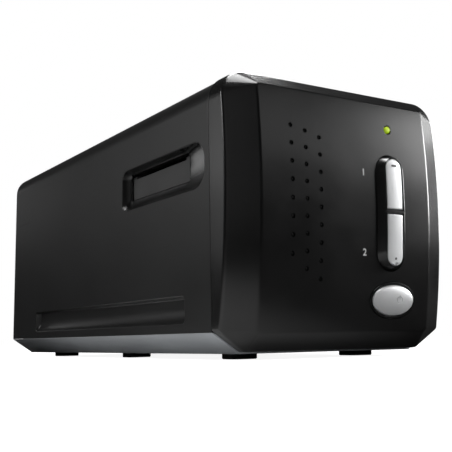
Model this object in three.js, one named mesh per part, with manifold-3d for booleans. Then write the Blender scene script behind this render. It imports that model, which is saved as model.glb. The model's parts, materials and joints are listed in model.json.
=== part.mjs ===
// Desktop film scanner with a curved front bezel, a slot through both sides and a scan carriage inside.
// Millimetres, +Z up, the front looks along -Y, origin on the table under the middle of the scanner.
import * as THREE from "three";
import { ConvexGeometry } from "three/addons/geometries/ConvexGeometry.js";
import { mergeVertices } from "three/addons/utils/BufferGeometryUtils.js";
import Module from "manifold-3d";

const wasm = await Module();
wasm.setup();

// Driving dimensions of the whole scanner
const overallWidth = 120;
const overallDepth = 272;
const overallHeight = 118.5;

// Clearances and the overrun of every cutter
const gap = 0.3;
const overrun = 2;

// Section of the body
const body = {
  underside: 2.5, // height of the base tray above the table
  cutWidth: 12.7,
  cutHeight: 8.6,
  cornerRadius: 11.5,
  wall: 2.5,
  topStep: 0.5, // the cover lies this much lower than the bezel
  lipThickness: 1.5,
  lipLength: 2,
  lipRoot: 6,
  seam: 0.4,
};

// Front bezel
const bezel = {
  depth: 18,
  underside: 3.2,
  wall: 2.8,
  bevelWidth: 13.5,
  bevelDepth: 7.1,
  lowerBevel: 7.4,
  upperBevel: 6.2,
  bowRadius: 350,
  bowHeight: 76, // height at which the bowed face comes furthest forward
  bowSteps: 8,
  rollSteps: 3,
};

// Decorative dimples in the front face: three columns of blind round holes
const dimple = {
  radius: 1.05,
  depth: 1.3,
  sides: 10,
  columns: [
    { x: -31, top: 96.1, pitch: 7.67, count: 8 },
    { x: -23.6, top: 94.5, pitch: 7.25, count: 9 },
    { x: -16.2, top: 92.3, pitch: 7.47, count: 9 },
  ],
};

// Controls on the front face
const controls = {
  x: 22.9,
  standOut: 3.2, // how far the scan buttons stand out of the face
  arcSteps: 8,
  boardDepth: 26.1, // from the front face to the back of the button board
};
const scanButton = {
  height: 62.6, // height of the middle of the pair
  length: 22.8,
  width: 9.4,
  divider: 1.4,
  rim: 0.45,
  sideSlope: 2.5,
  endSlope: 1.25,
  frameDepth: 6.5,
  flange: 1.2,
  stemRadius: 1.6,
  travel: 0.8,
};
const powerButton = {
  x: 24.8,
  height: 24.1,
  halfWidth: 11.8,
  halfHeight: 6.6,
  ringWidth: 1,
  ringStandOut: 0.3,
  ringDepth: 9.4,
  shoulder: 0.5,
  crownInset: 1.4,
  standOut: 1.9,
  sides: 32,
};
const statusLight = { x: 23.8, height: 100.6, radius: 1.9, standOut: 0.5, sides: 16 };
const pushSwitch = { size: 6, depth: 3.5, plungerRadius: 1.7, plungerLength: 1.5, freePlay: 1 };

// Slot recess with its door in each side
const slot = {
  height: 81.4, // height of the middle of the recess
  rise: 19.8,
  behindFace: 22.3,
  length: 80,
  frontRadius: 8.5,
  rearRadius: 4,
  floorDepth: 4.5,
  scoop: 19.3, // length of the sloping front end
  rearSlope: 2,
  lowerSlope: 5,
  upperSlope: 1.1,
  floorRadius: 1.5,
  backing: 3.5,
  bossMargin: 2.3,
  doorMargin: 0.45,
};
const door = {
  thickness: 1.4,
  knuckleRadius: 1.2,
  pinRadius: 0.9,
  pinLength: 2.4,
  endGap: 0.4,
  topGap: 0.9, // dark gap over the knuckle
  sides: 16,
};

// Grip groove low on each side
const grip = {
  height: 21.1,
  rise: 11.3,
  length: 185,
  depth: 3,
  backing: 1.8,
  endRadius: 2,
  slope: 2.6,
  margin: 2,
};

// Feet under the tray
const foot = {
  size: 13,
  cornerRadius: 3.5,
  edge: 0.6,
  seat: 0.8,
  spread: 33,
  behindFace: 39.8,
  pitch: 101.5,
  rows: 3,
};

// Base tray and rear panel
const tray = { flangeGap: 5.2, flangeThickness: 1.8, flangeTop: 22, flangeRootShare: 0.4 };
const rearPanel = { thickness: 2.5, inset: 1.8 };
const vent = { count: 9, pitch: 8, width: 2.6, height: 30, middle: 86 };
const lockSlot = { x: -42, height: 38, width: 7, rise: 3 };

// Screws
const screw = {
  headRadius: 2.9,
  headHeight: 1.2,
  shankRadius: 1.4,
  length: 8,
  seat: 1.6,
  recessRadius: 1.2,
  recessDepth: 0.7,
  recessSides: 6,
  bossRadius: 4,
  bossHeight: 5,
  spread: 40,
  front: 53, // behind the front face
  rear: 193,
  sides: 16,
};
const rearScrew = { spread: 49, height: 60, uprightWidth: 7, uprightDepth: 9, uprightTop: 66 };

// Film gate: lower half with the track, upper half as its roof
const gate = {
  sideRoom: 10, // from the outside of the cover to the end of the track
  floorThickness: 3.6,
  wall: 2.5,
  ledge: 4.1,
  rearLedge: 1.2,
  trackStep: 0.6,
  roofThickness: 2,
  roofRoom: 20,
  windowWidth: 38,
  windowLength: 32,
  underKnuckle: 0.7,
};

// Chassis frame
const chassis = {
  sideRoom: 10,
  floorGap: 0.3,
  floorThickness: 2.7,
  wall: 3,
  wallWidth: 90,
  wallTop: 58,
  rearWall: 5,
  uprightWidth: 12,
  uprightTop: 104,
  post: 6,
  postSpread: 46,
  rearRoom: 2.2,
  bracketRoom: 8.5,
};

// Scan carriage and its drive
const travel = 30;
const carriage = {
  scanBehindFace: 60.5, // where the scan line rests
  width: 54,
  frameWidth: 50,
  plate: 3,
  frontReach: 9,
  roofClearance: 12.1,
  benchDrop: 26, // from the underside of the gate to the underside of the bench
  backGap: 3.5,
  backWall: 7,
  rearReach: 59,
  bearingWidth: 14,
  bearingLength: 12,
  bearingHeight: 12,
  cheekRise: 19,
};
const rod = { radius: 3, spread: 36, rise: 4, sides: 20 };
const leadScrew = { radius: 2.6, drop: 8, sides: 20 };
const nut = { width: 16, length: 14, below: 7, from: 23 };
const motor = {
  radius: 12.5,
  length: 20,
  flange: 2,
  flangeWidth: 36,
  flangeHeight: 25,
  shaftSeat: 4,
  sides: 28,
};
const lamp = { width: 46, length: 14, height: 9.7, wall: 2, cavity: 7, diffuser: 1.5, diffuserRise: 0.2 };
const mirror = { width: 43.4, length: 22, thickness: 2, rise: 13.6 };
const lens = {
  radius: 9,
  length: 22,
  flangeRadius: 10.2,
  flange: 2.7,
  boreRadius: 6.5,
  boreDepth: 1.5,
  ahead: 8,
  sides: 24,
};
const sensor = { width: 42, height: 18, board: 1.6, chipWidth: 34, chipHeight: 6, chipDepth: 2.6 };

// Detent arm in the track
const detent = {
  x: 20.5,
  length: 13.5,
  width: 4.8,
  thickness: 2.4,
  noseRise: 1,
  noseWidth: 4,
  pinRadius: 0.9,
  knuckleRadius: 1.8,
  drop: 3.5,
  ear: 1.2,
  earWidth: 5,
  slotRoom: 1.6,
  sides: 14,
};

// Boards and sockets
const board = {
  thickness: 1.6,
  halfWidth: 44,
  depth: 37,
  standOff: 4,
  standOffRadius: 3,
  inset: 4,
  rearRoom: 3,
};
const chips = [
  { x: -22, behind: 14, width: 14, length: 14, height: 1.6 },
  { x: 2, behind: 12, width: 10, length: 8, height: 1.4 },
  { x: 30, behind: 13, width: 9, length: 9, height: 5 },
];
const buttonBoard = { width: 34, low: 16, high: 106, light: 3, lightHeight: 1.8 };
const usb = {
  x: 18,
  width: 12,
  height: 10.9,
  length: 16.4,
  wallX: 1.8,
  wallZ: 1.6,
  depth: 9,
  tongueWidth: 5.6,
  tongueHeight: 3.2,
  tongueLength: 7,
};
const power = {
  x: -12.5,
  width: 9,
  height: 11,
  length: 14.2,
  radius: 3,
  depth: 9.5,
  pinRadius: 1,
  pinLength: 8.5,
  sides: 16,
};

// Places that follow from the sizes above
const halfWidth = overallWidth / 2;
const faceY = -overallDepth / 2 + controls.standOut;
const rearY = overallDepth / 2;
const seamY = faceY + bezel.depth;
const shellY = seamY + body.seam;
const coverTop = overallHeight - body.topStep;
const trayTop = body.underside + body.cutHeight;
const trayFloor = body.underside + body.wall;
const rearPanelY = rearY - rearPanel.inset - rearPanel.thickness;
const buttonBoardY = faceY + controls.boardDepth;
const slotFrontY = faceY + slot.behindFace;
const slotRearY = slotFrontY + slot.length;
const doorway = {
  front: slotFrontY + slot.scoop + slot.doorMargin,
  rear: slotRearY - slot.rearSlope - slot.doorMargin,
  low: slot.height - slot.rise / 2 + slot.lowerSlope + gap,
  high: slot.height + slot.rise / 2 - slot.upperSlope,
  outer: halfWidth - slot.floorDepth,
};
const hinge = {
  x: doorway.outer - slot.backing / 2,
  z: doorway.high - door.topGap - door.knuckleRadius,
};
const trackZ = doorway.low - gate.trackStep;
const gateFloorZ = trackZ - gate.floorThickness;
const roofZ = hinge.z + door.knuckleRadius + gate.underKnuckle;
const gateFrontY = doorway.front - gate.wall - gate.ledge;
const gateRearY = doorway.rear + gate.wall + gate.rearLedge;
const scanY = faceY + carriage.scanBehindFace;
const benchZ = gateFloorZ - carriage.benchDrop;
const benchFrontY = scanY - carriage.frontReach;
const backWallY = gateRearY + carriage.backGap;
const benchRearY = backWallY + carriage.rearReach;
const armZ = roofZ + gate.roofThickness + carriage.roofClearance;
const rodZ = benchZ + rod.rise;
const leadScrewZ = benchZ - leadScrew.drop;
const chassisZ = trayFloor + chassis.floorGap;
const chassisTop = chassisZ + chassis.floorThickness;
const chassisFrontY = buttonBoardY + gap;
const rearBracketY = benchRearY + travel + chassis.bracketRoom;
const boardZ = chassisTop + board.standOff;
const boardTop = boardZ + board.thickness;
const boardRearY = rearPanelY - board.rearRoom;

// Geometry to solid and back

function toSolid(geometry) {
  const plain = geometry.index ? geometry.toNonIndexed() : geometry.clone();
  for (const name of Object.keys(plain.attributes)) if (name !== "position") plain.deleteAttribute(name);
  const merged = mergeVertices(plain);
  return new wasm.Manifold(
    new wasm.Mesh({
      numProp: 3,
      vertProperties: new Float32Array(merged.attributes.position.array),
      triVerts: new Uint32Array(merged.index.array),
    }),
  );
}

function toGeometry(solid) {
  const mesh = solid.getMesh();
  const geometry = new THREE.BufferGeometry();
  geometry.setAttribute(
    "position",
    new THREE.BufferAttribute(new Float32Array(mesh.vertProperties), mesh.numProp),
  );
  geometry.setIndex(new THREE.BufferAttribute(new Uint32Array(mesh.triVerts), 1));
  const flat = geometry.toNonIndexed();
  flat.computeVertexNormals();
  return flat;
}

const unite = (first, ...others) => others.reduce((whole, next) => whole.add(next), first);
const cut = (base, ...tools) => tools.reduce((whole, tool) => whole.subtract(tool), base);

// Basic solids, each between two limits along the axes

function block(x, y, z) {
  const geometry = new THREE.BoxGeometry(x[1] - x[0], y[1] - y[0], z[1] - z[0]);
  geometry.translate((x[0] + x[1]) / 2, (y[0] + y[1]) / 2, (z[0] + z[1]) / 2);
  return toSolid(geometry);
}

const centred = (middle, size) => [middle - size / 2, middle + size / 2];

function toShape(outline) {
  return new THREE.Shape(outline.map(([u, v]) => new THREE.Vector2(u, v)));
}

// Outline in (x, z), extruded between two y values
function extrudeY(outline, y0, y1) {
  const geometry = new THREE.ExtrudeGeometry(toShape(outline), { depth: y1 - y0, bevelEnabled: false });
  geometry.rotateX(Math.PI / 2);
  geometry.translate(0, y1, 0);
  return toSolid(geometry);
}

// Outline in (y, z), extruded between two x values
function extrudeX(outline, x0, x1) {
  const geometry = new THREE.ExtrudeGeometry(toShape(outline), { depth: x1 - x0, bevelEnabled: false });
  const axes = new THREE.Matrix4();
  axes.makeBasis(new THREE.Vector3(0, 1, 0), new THREE.Vector3(0, 0, 1), new THREE.Vector3(1, 0, 0));
  geometry.applyMatrix4(axes);
  geometry.translate(x0, 0, 0);
  return toSolid(geometry);
}

function cylinderY(radius, x, z, y0, y1, sides) {
  const geometry = new THREE.CylinderGeometry(radius, radius, y1 - y0, sides);
  geometry.translate(x, (y0 + y1) / 2, z);
  return toSolid(geometry);
}

function cylinderZ(radius, x, y, z0, z1, sides) {
  const geometry = new THREE.CylinderGeometry(radius, radius, z1 - z0, sides);
  geometry.rotateX(Math.PI / 2);
  geometry.translate(x, y, (z0 + z1) / 2);
  return toSolid(geometry);
}

const hull = (points) => toSolid(new ConvexGeometry(points.map(([x, y, z]) => new THREE.Vector3(
  x,
  y,
  z,
))));

const mirrored = (solid, side) => (side < 0 ? solid : solid.mirror([1, 0, 0]));

// Outlines as lists of points, counter-clockwise

function arc(centre, radii, from, to, steps) {
  return Array.from({ length: steps + 1 }, (_, i) => {
    const angle = from + ((to - from) * i) / steps;
    return [centre[0] + radii[0] * Math.cos(angle), centre[1] + radii[1] * Math.sin(angle)];
  });
}

function roundedBox(u, v, lowRadius, highRadius, steps) {
  const quarter = Math.PI / 2;
  const low = [lowRadius, lowRadius];
  const high = [highRadius, highRadius];
  return [
    ...arc([u[0] + lowRadius, v[0] + lowRadius], low, 2 * quarter, 3 * quarter, steps),
    ...arc([u[1] - highRadius, v[0] + highRadius], high, 3 * quarter, 4 * quarter, steps),
    ...arc([u[1] - highRadius, v[1] - highRadius], high, 0, quarter, steps),
    ...arc([u[0] + lowRadius, v[1] - lowRadius], low, quarter, 2 * quarter, steps),
  ];
}

function pill(x, z, width, length) {
  const radius = width / 2;
  const reach = length / 2 - radius;
  return [
    ...arc([x, z + reach], [radius, radius], 0, Math.PI, 2 * controls.arcSteps),
    ...arc([x, z - reach], [radius, radius], Math.PI, 2 * Math.PI, 2 * controls.arcSteps),
  ];
}

const ellipse = (x, z, halfX, halfZ, sides) =>
  arc([x, z], [halfX, halfZ], 0, 2 * Math.PI, sides).slice(0, sides);

// Moves each edge of a convex outline inwards by the distance
function inset(outline, distance) {
  const edges = outline.map((start, i) => {
    const end = outline[(i + 1) % outline.length];
    const length = Math.hypot(end[0] - start[0], end[1] - start[1]);
    const along = [(end[0] - start[0]) / length, (end[1] - start[1]) / length];
    return { along, at: [start[0] - along[1] * distance, start[1] + along[0] * distance] };
  });
  return edges.map((edge, i) => {
    const before = edges[(i + edges.length - 1) % edges.length];
    const turn = before.along[0] * edge.along[1] - before.along[1] * edge.along[0];
    const apart = [edge.at[0] - before.at[0], edge.at[1] - before.at[1]];
    const reach = (apart[0] * edge.along[1] - apart[1] * edge.along[0]) / turn;
    return [before.at[0] + before.along[0] * reach, before.at[1] + before.along[1] * reach];
  });
}

// Cross-section of the body: sloping lower sides and round upper corners
function bodyOutline(underside, top) {
  const flat = halfWidth - body.cutWidth;
  const radii = [body.cornerRadius, body.cornerRadius];
  const centreX = halfWidth - body.cornerRadius;
  const centreZ = top - body.cornerRadius;
  return [
    [-flat, underside],
    [flat, underside],
    [halfWidth, underside + body.cutHeight],
    ...arc([centreX, centreZ], radii, 0, Math.PI / 2, controls.arcSteps),
    ...arc([-centreX, centreZ], radii, Math.PI / 2, Math.PI, controls.arcSteps),
    [-halfWidth, underside + body.cutHeight],
  ];
}

const shellOutline = bodyOutline(body.underside, coverTop);
const bezelOutline = bodyOutline(bezel.underside, overallHeight);

// How far the bowed front lies behind its front-most line at a height
function bow(z) {
  const away = z - bezel.bowHeight;
  return bezel.bowRadius - Math.sqrt(bezel.bowRadius ** 2 - away ** 2);
}

const evenly = (from, to, steps) => Array.from(
  { length: steps + 1 },
  (_, i) => from + ((to - from) * i) / steps,
);

// Shell pieces

// Convex form of the bezel, shrunk by a wall and open to a rear plane
function bezelForm(shrink, backY) {
  const bevelY = faceY + bezel.bevelDepth;
  const plan = inset(
    [
      [-halfWidth + bezel.bevelWidth, faceY],
      [halfWidth - bezel.bevelWidth, faceY],
      [halfWidth, bevelY],
      [halfWidth, seamY + bezel.depth],
      [-halfWidth, seamY + bezel.depth],
      [-halfWidth, bevelY],
    ],
    shrink,
  );
  const profile = inset(
    [
      [faceY, overallHeight - bezel.upperBevel],
      [faceY, bezel.underside + bezel.lowerBevel],
      [bevelY, bezel.underside],
      [seamY + bezel.depth, bezel.underside],
      [seamY + bezel.depth, overallHeight],
      [bevelY, overallHeight],
    ],
    shrink,
  );
  const faceHalf = plan[1][0];
  const edgeY = plan[2][1];
  const [faceTop, faceLow] = [profile[0][1], profile[1][1]];
  const outline = inset(bezelOutline, shrink);
  const outlineTop = Math.max(...outline.map(([, z]) => z));
  const sides = evenly(outline[2][1], outline[3][1], bezel.bowSteps).flatMap((z) => [
    [outline[2][0], z],
    [-outline[2][0], z],
  ]);
  const points = outline.map(([x, z]) => [x, backY, z]);
  for (const [x, z] of [...outline, ...sides]) points.push([x, edgeY + bow(z), z]);
  for (const z of evenly(faceLow, faceTop, bezel.bowSteps))
    for (const x of [-faceHalf, faceHalf]) points.push([x, faceY + shrink + bow(z), z]);
  for (let step = 1; step < bezel.rollSteps; step += 1) {
    const share = step / bezel.rollSteps;
    const angle = (share * Math.PI) / 2;
    const z = faceTop + ((outlineTop - faceTop) * (Math.sin(angle) + share)) / 2;
    const y = faceY + shrink + ((edgeY - faceY - shrink) * (1 - Math.cos(angle) + share)) / 2 + bow(z);
    for (const x of [-faceHalf, faceHalf]) points.push([x, y, z]);
  }
  return hull(points);
}

function dimpleCutters() {
  return dimple.columns.flatMap(({ x, top, pitch, count }) =>
    Array.from({ length: count }, (_, i) => {
      const z = top - pitch * i;
      const bottomY = faceY + bow(z) + dimple.depth;
      return cylinderY(dimple.radius, x, z, faceY - overrun, bottomY, dimple.sides);
    }),
  );
}

function frontBezel() {
  const wallFront = faceY - overrun;
  const frameHole = inset(frameOutlines().base, -gap);
  const ringHole = inset(powerRingOutline(), -gap);
  return cut(
    bezelForm(0, seamY),
    bezelForm(bezel.wall, seamY + overrun),
    extrudeY(frameHole, wallFront, seamY),
    extrudeY(ringHole, wallFront, seamY),
    cylinderY(
      statusLight.radius + gap,
      statusLight.x,
      statusLight.height,
      wallFront,
      seamY,
      statusLight.sides,
    ),
    ...dimpleCutters(),
  );
}

// Ring inside the front edge of the cover and the tray, which reaches into the bezel
function lip() {
  const outer = inset(bezelOutline, bezel.wall + gap);
  const inner = inset(bezelOutline, bezel.wall + gap + body.lipThickness);
  const rootY = shellY + body.lipRoot;
  const ring = extrudeY(outer, seamY - body.lipLength, shellY + gap);
  const root = extrudeY(inset(shellOutline, body.wall / 2), shellY, rootY);
  return cut(unite(ring, root), extrudeY(inner, seamY - body.lipLength - overrun, rootY + overrun));
}

function shell() {
  const outer = extrudeY(shellOutline, shellY, rearY);
  const inner = extrudeY(inset(shellOutline, body.wall), shellY - overrun, rearY + overrun);
  return unite(cut(outer, inner), lip());
}

const wide = [-overallWidth, overallWidth];
const deep = [-overallDepth, overallDepth];

// Recess in the left side, down to its floor
function slotRecess() {
  const outer = roundedBox(
    [slotFrontY, slotRearY],
    centred(slot.height, slot.rise),
    slot.frontRadius,
    slot.rearRadius,
    controls.arcSteps / 2,
  );
  const floor = roundedBox(
    [slotFrontY + slot.scoop, slotRearY - slot.rearSlope],
    [slot.height - slot.rise / 2 + slot.lowerSlope, slot.height + slot.rise / 2 - slot.upperSlope],
    slot.floorRadius,
    slot.floorRadius,
    controls.arcSteps / 2,
  );
  const basin = hull([
    ...outer.map(([y, z]) => [-halfWidth, y, z]),
    ...floor.map(([y, z]) => [-doorway.outer, y, z]),
  ]);
  return unite(basin, extrudeX(outer, -halfWidth - overrun, -halfWidth));
}

function slotBoss() {
  const inner = doorway.outer - slot.backing;
  return block(
    [-halfWidth + body.wall / 2, -inner],
    [slotFrontY - slot.bossMargin, slotRearY + slot.bossMargin],
    centred(slot.height, slot.rise + 2 * slot.bossMargin),
  );
}

function doorOpening() {
  const through = [-doorway.outer - overrun, -doorway.outer + slot.backing + overrun];
  const opening = block(through, [doorway.front, doorway.rear], [doorway.low, doorway.high]);
  const reach = door.pinLength + gap;
  const pins = cylinderY(
    door.pinRadius + gap,
    -hinge.x,
    hinge.z,
    doorway.front - reach,
    doorway.rear + reach,
    door.sides,
  );
  return unite(opening, pins);
}

// Groove low in the left side, deepest along its middle
function gripGroove() {
  const y = centred(0, grip.length);
  const outer = roundedBox(
    y,
    centred(grip.height, grip.rise),
    grip.endRadius,
    grip.endRadius,
    controls.arcSteps / 4,
  );
  const floor = inset(outer, grip.slope / 2).map(([along, z]) => [along, z + (grip.height - z) / 2]);
  const trough = hull([
    ...outer.map(([along, z]) => [-halfWidth, along, z]),
    ...floor.map(([along, z]) => [-halfWidth + grip.depth, along, z]),
  ]);
  return unite(trough, extrudeX(outer, -halfWidth - overrun, -halfWidth));
}

function gripBoss() {
  return block(
    [-halfWidth + body.wall / 2, -halfWidth + grip.depth + grip.backing],
    centred(0, grip.length + 2 * grip.margin),
    [trayTop + gap, grip.height + grip.rise / 2 + grip.margin],
  );
}

function outerCover() {
  const upper = shell().intersect(block(wide, deep, [trayTop + gap, overallHeight]));
  const bosses = [-1, 1].flatMap((side) => [mirrored(slotBoss(), side), mirrored(gripBoss(), side)]);
  const hollows = [-1, 1].flatMap((side) => [
    mirrored(slotRecess(), side),
    mirrored(doorOpening(), side),
    mirrored(gripGroove(), side),
  ]);
  return cut(unite(upper, ...bosses), ...hollows);
}

const footPlaces = Array.from(
  { length: foot.rows },
  (_, row) => faceY + foot.behindFace + foot.pitch * row,
);
const screwPlaces = [screw.front, screw.rear].map((behind) => faceY + behind);

function baseTray() {
  const lower = shell().intersect(block(wide, deep, [0, trayTop]));
  const flangeX = halfWidth - tray.flangeGap;
  const slopeZ = body.underside + ((flangeX - halfWidth + body.cutWidth) / body.cutWidth) * body.cutHeight;
  const flangeZ = [slopeZ + body.wall * tray.flangeRootShare, tray.flangeTop];
  const flangeY = [shellY + body.lipRoot + gap, rearPanelY - gap];
  const flanges = [-1, 1].map((side) =>
    mirrored(block([-flangeX, -flangeX + tray.flangeThickness], flangeY, flangeZ), side),
  );
  const footSeats = footPlaces.flatMap((y) =>
    [-1, 1].map((side) =>
      block(
        centred(side * foot.spread, foot.size + 2 * gap),
        centred(y, foot.size + 2 * gap),
        [0, body.underside + foot.seat],
      ),
    ),
  );
  const screwHoles = screwPlaces.flatMap((y) =>
    [-1, 1].flatMap((side) => [
      cylinderZ(screw.shankRadius + gap, side * screw.spread, y, 0, trayTop, screw.sides),
      cylinderZ(
        screw.headRadius + gap,
        side * screw.spread,
        y,
        0,
        body.underside + screw.seat,
        screw.sides,
      ),
    ]),
  );
  return cut(unite(lower, ...flanges), ...footSeats, ...screwHoles);
}

function footPad(side, y) {
  const outline = roundedBox(
    centred(side * foot.spread, foot.size),
    centred(y, foot.size),
    foot.cornerRadius,
    foot.cornerRadius,
    controls.arcSteps / 2,
  );
  const top = body.underside + foot.seat - gap;
  return hull([
    ...inset(outline, foot.edge).map(([x, along]) => [x, along, 0]),
    ...outline.map(([x, along]) => [x, along, foot.edge]),
    ...outline.map(([x, along]) => [x, along, top]),
  ]);
}

function rearPanelPlate() {
  const outline = inset(shellOutline, body.wall + gap);
  const through = [rearPanelY - overrun, rearY + overrun];
  const vents = Array.from({ length: vent.count }, (_, i) => {
    const x = (i - (vent.count - 1) / 2) * vent.pitch;
    return block(centred(x, vent.width), through, centred(vent.middle, vent.height));
  });
  const screwHoles = [-1, 1].map((side) =>
    cylinderY(
      screw.shankRadius + gap,
      side * rearScrew.spread,
      rearScrew.height,
      ...through,
      screw.sides,
    ),
  );
  return cut(
    extrudeY(outline, rearPanelY, rearPanelY + rearPanel.thickness),
    ...vents,
    ...screwHoles,
    block(centred(lockSlot.x, lockSlot.width), through, centred(lockSlot.height, lockSlot.rise)),
    socketOpening(usb, through),
    socketOpening(power, through),
  );
}

function socketOpening({ x, width, height }, through) {
  const room = 2 * gap;
  return block(centred(x, width + room), through, [boardTop, boardTop + gap + height + gap]);
}

// Controls

// Outlines of the frame round the scan buttons: at its rim and at the face
function frameOutlines() {
  const rimWidth = scanButton.width + 2 * (gap + scanButton.rim);
  const rimLength = 2 * scanButton.length + scanButton.divider + 4 * gap + 2 * scanButton.rim;
  const base = [rimWidth + 2 * scanButton.sideSlope, rimLength + 2 * scanButton.endSlope];
  return {
    rim: pill(controls.x, scanButton.height, rimWidth, rimLength),
    base: pill(controls.x, scanButton.height, ...base),
    flange: pill(
      controls.x,
      scanButton.height,
      base[0] + 2 * scanButton.flange,
      base[1] + 2 * scanButton.flange,
    ),
  };
}

// One scan button seen from the front: flat towards the divider, round at the other end
function scanButtonOutline(side) {
  const radius = scanButton.width / 2;
  const flatZ = scanButton.height + side * (scanButton.divider / 2 + gap);
  const roundZ = flatZ + side * (scanButton.length - radius);
  const sweep = arc([controls.x, roundZ], [radius, side * radius], 0, Math.PI, 2 * controls.arcSteps);
  const outline = [[controls.x + radius, flatZ], ...sweep, [controls.x - radius, flatZ]];
  return side > 0 ? outline : outline.reverse();
}

function buttonFrame() {
  const { rim, base, flange } = frameOutlines();
  const backY = faceY + scanButton.frameDepth;
  const form = hull([
    ...rim.map(([x, z]) => [x, faceY - controls.standOut + bow(z), z]),
    ...base.map(([x, z]) => [x, faceY + bow(z), z]),
    ...base.map(([x, z]) => [x, backY, z]),
  ]);
  const windows = [-1, 1].map((side) =>
    extrudeY(inset(scanButtonOutline(side), -gap), faceY - controls.standOut - overrun, backY + overrun),
  );
  return cut(unite(form, extrudeY(flange, backY - scanButton.flange, backY)), ...windows);
}

// Everything behind the bowed face, moved out by a distance
function behindFace(standOut) {
  const front = evenly(0, overallHeight, 2 * bezel.bowSteps).map((z) => [faceY - standOut + bow(z), z]);
  return extrudeX([...front, [rearY, overallHeight], [rearY, 0]], ...wide);
}

const plungerTipY = buttonBoardY - board.thickness - gap - pushSwitch.depth - pushSwitch.plungerLength;
const stemEndY = plungerTipY - pushSwitch.freePlay;

function buttonBack(outline, y, x, z) {
  const flange = extrudeY(outline, y, y + scanButton.flange);
  return unite(flange, cylinderY(scanButton.stemRadius, x, z, y, stemEndY, screw.sides));
}

const scanStemZ = (side) => scanButton.height + (side * (scanButton.length + scanButton.divider)) / 2;

function scanButtonCap(side) {
  const outline = scanButtonOutline(side);
  const flangeY = faceY + scanButton.frameDepth + gap;
  const cap = extrudeY(
    outline,
    faceY - overallDepth / 2,
    flangeY + gap,
  ).intersect(behindFace(controls.standOut));
  const grown = extrudeY(inset(outline, -gap), flangeY, flangeY + scanButton.flange);
  return unite(cap, grown, buttonBack(outline, flangeY, controls.x, scanStemZ(side)));
}

function powerRingOutline() {
  const grow = gap + powerButton.ringWidth;
  const { x, height, halfWidth: across, halfHeight: up, sides } = powerButton;
  return ellipse(x, height, across + grow, up + grow, sides);
}

const powerOutline = () =>
  ellipse(
    powerButton.x,
    powerButton.height,
    powerButton.halfWidth,
    powerButton.halfHeight,
    powerButton.sides,
  );

function powerRing() {
  const backY = faceY + powerButton.ringDepth;
  const ring = extrudeY(
    powerRingOutline(),
    faceY - overrun,
    backY,
  ).intersect(behindFace(powerButton.ringStandOut));
  const flange = extrudeY(
    inset(powerRingOutline(), -scanButton.flange),
    backY - scanButton.flange,
    backY,
  );
  return cut(
    unite(ring, flange),
    extrudeY(inset(powerOutline(), -gap), faceY - overrun, backY + overrun),
  );
}

function powerButtonCap() {
  const outline = powerOutline();
  const flangeY = faceY + powerButton.ringDepth + gap;
  const crown = inset(outline, powerButton.crownInset);
  const cap = hull([
    ...crown.map(([x, z]) => [x, faceY - powerButton.standOut + bow(z), z]),
    ...outline.map(([x, z]) => [x, faceY - powerButton.shoulder + bow(z), z]),
    ...outline.map(([x, z]) => [x, flangeY + gap, z]),
  ]);
  const grown = extrudeY(inset(outline, -gap), flangeY, flangeY + scanButton.flange);
  return unite(cap, grown, buttonBack(outline, flangeY, powerButton.x, powerButton.height));
}

function lightPipe() {
  const { x, height, radius, standOut, sides } = statusLight;
  const frontY = faceY - standOut + bow(height);
  const backY = buttonBoardY - board.thickness - buttonBoard.lightHeight - gap;
  const circle = ellipse(x, height, radius, radius, sides);
  return hull([
    ...inset(circle, standOut).map(([u, v]) => [u, frontY, v]),
    ...circle.map(([u, v]) => [u, frontY + standOut, v]),
    ...circle.map(([u, v]) => [u, backY, v]),
  ]);
}

function buttonBoardPlate() {
  const y = [buttonBoardY - board.thickness, buttonBoardY];
  const plate = block(centred(statusLight.x, buttonBoard.width), y, [buttonBoard.low, buttonBoard.high]);
  const light = block(
    centred(statusLight.x, buttonBoard.light),
    [y[0] - buttonBoard.lightHeight, y[0] + gap],
    centred(statusLight.height, buttonBoard.light),
  );
  return unite(plate, light);
}

function switchUnit(x, z) {
  const backY = buttonBoardY - board.thickness - gap;
  const frontY = backY - pushSwitch.depth;
  const housing = block(centred(x, pushSwitch.size), [frontY, backY], centred(z, pushSwitch.size));
  return unite(
    housing,
    cylinderY(pushSwitch.plungerRadius, x, z, plungerTipY, frontY + gap, screw.sides),
  );
}

// Doors, made for the left side and mirrored for the right

function dustDoor(side) {
  const length = [doorway.front + door.endGap, doorway.rear - door.endGap];
  const outerX = -hinge.x - door.knuckleRadius;
  const plate = block([outerX, outerX + door.thickness], length, [doorway.low + door.endGap, hinge.z]);
  const knuckle = cylinderY(door.knuckleRadius, -hinge.x, hinge.z, ...length, door.sides);
  const pinY = [doorway.front - door.pinLength + gap, doorway.rear + door.pinLength - gap];
  return mirrored(
    unite(plate, knuckle, cylinderY(door.pinRadius, -hinge.x, hinge.z, ...pinY, door.sides)),
    side,
  );
}

// Film gate

const gateWindow = () =>
  block(
    centred(0, gate.windowWidth),
    centred(scanY + travel / 2 - gate.ledge / 4, gate.windowLength),
    [gateFloorZ - overrun, armZ],
  );

const detentPlace = {
  x: detent.x,
  y: doorway.front + detent.width,
  z: gateFloorZ - detent.drop,
};

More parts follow.
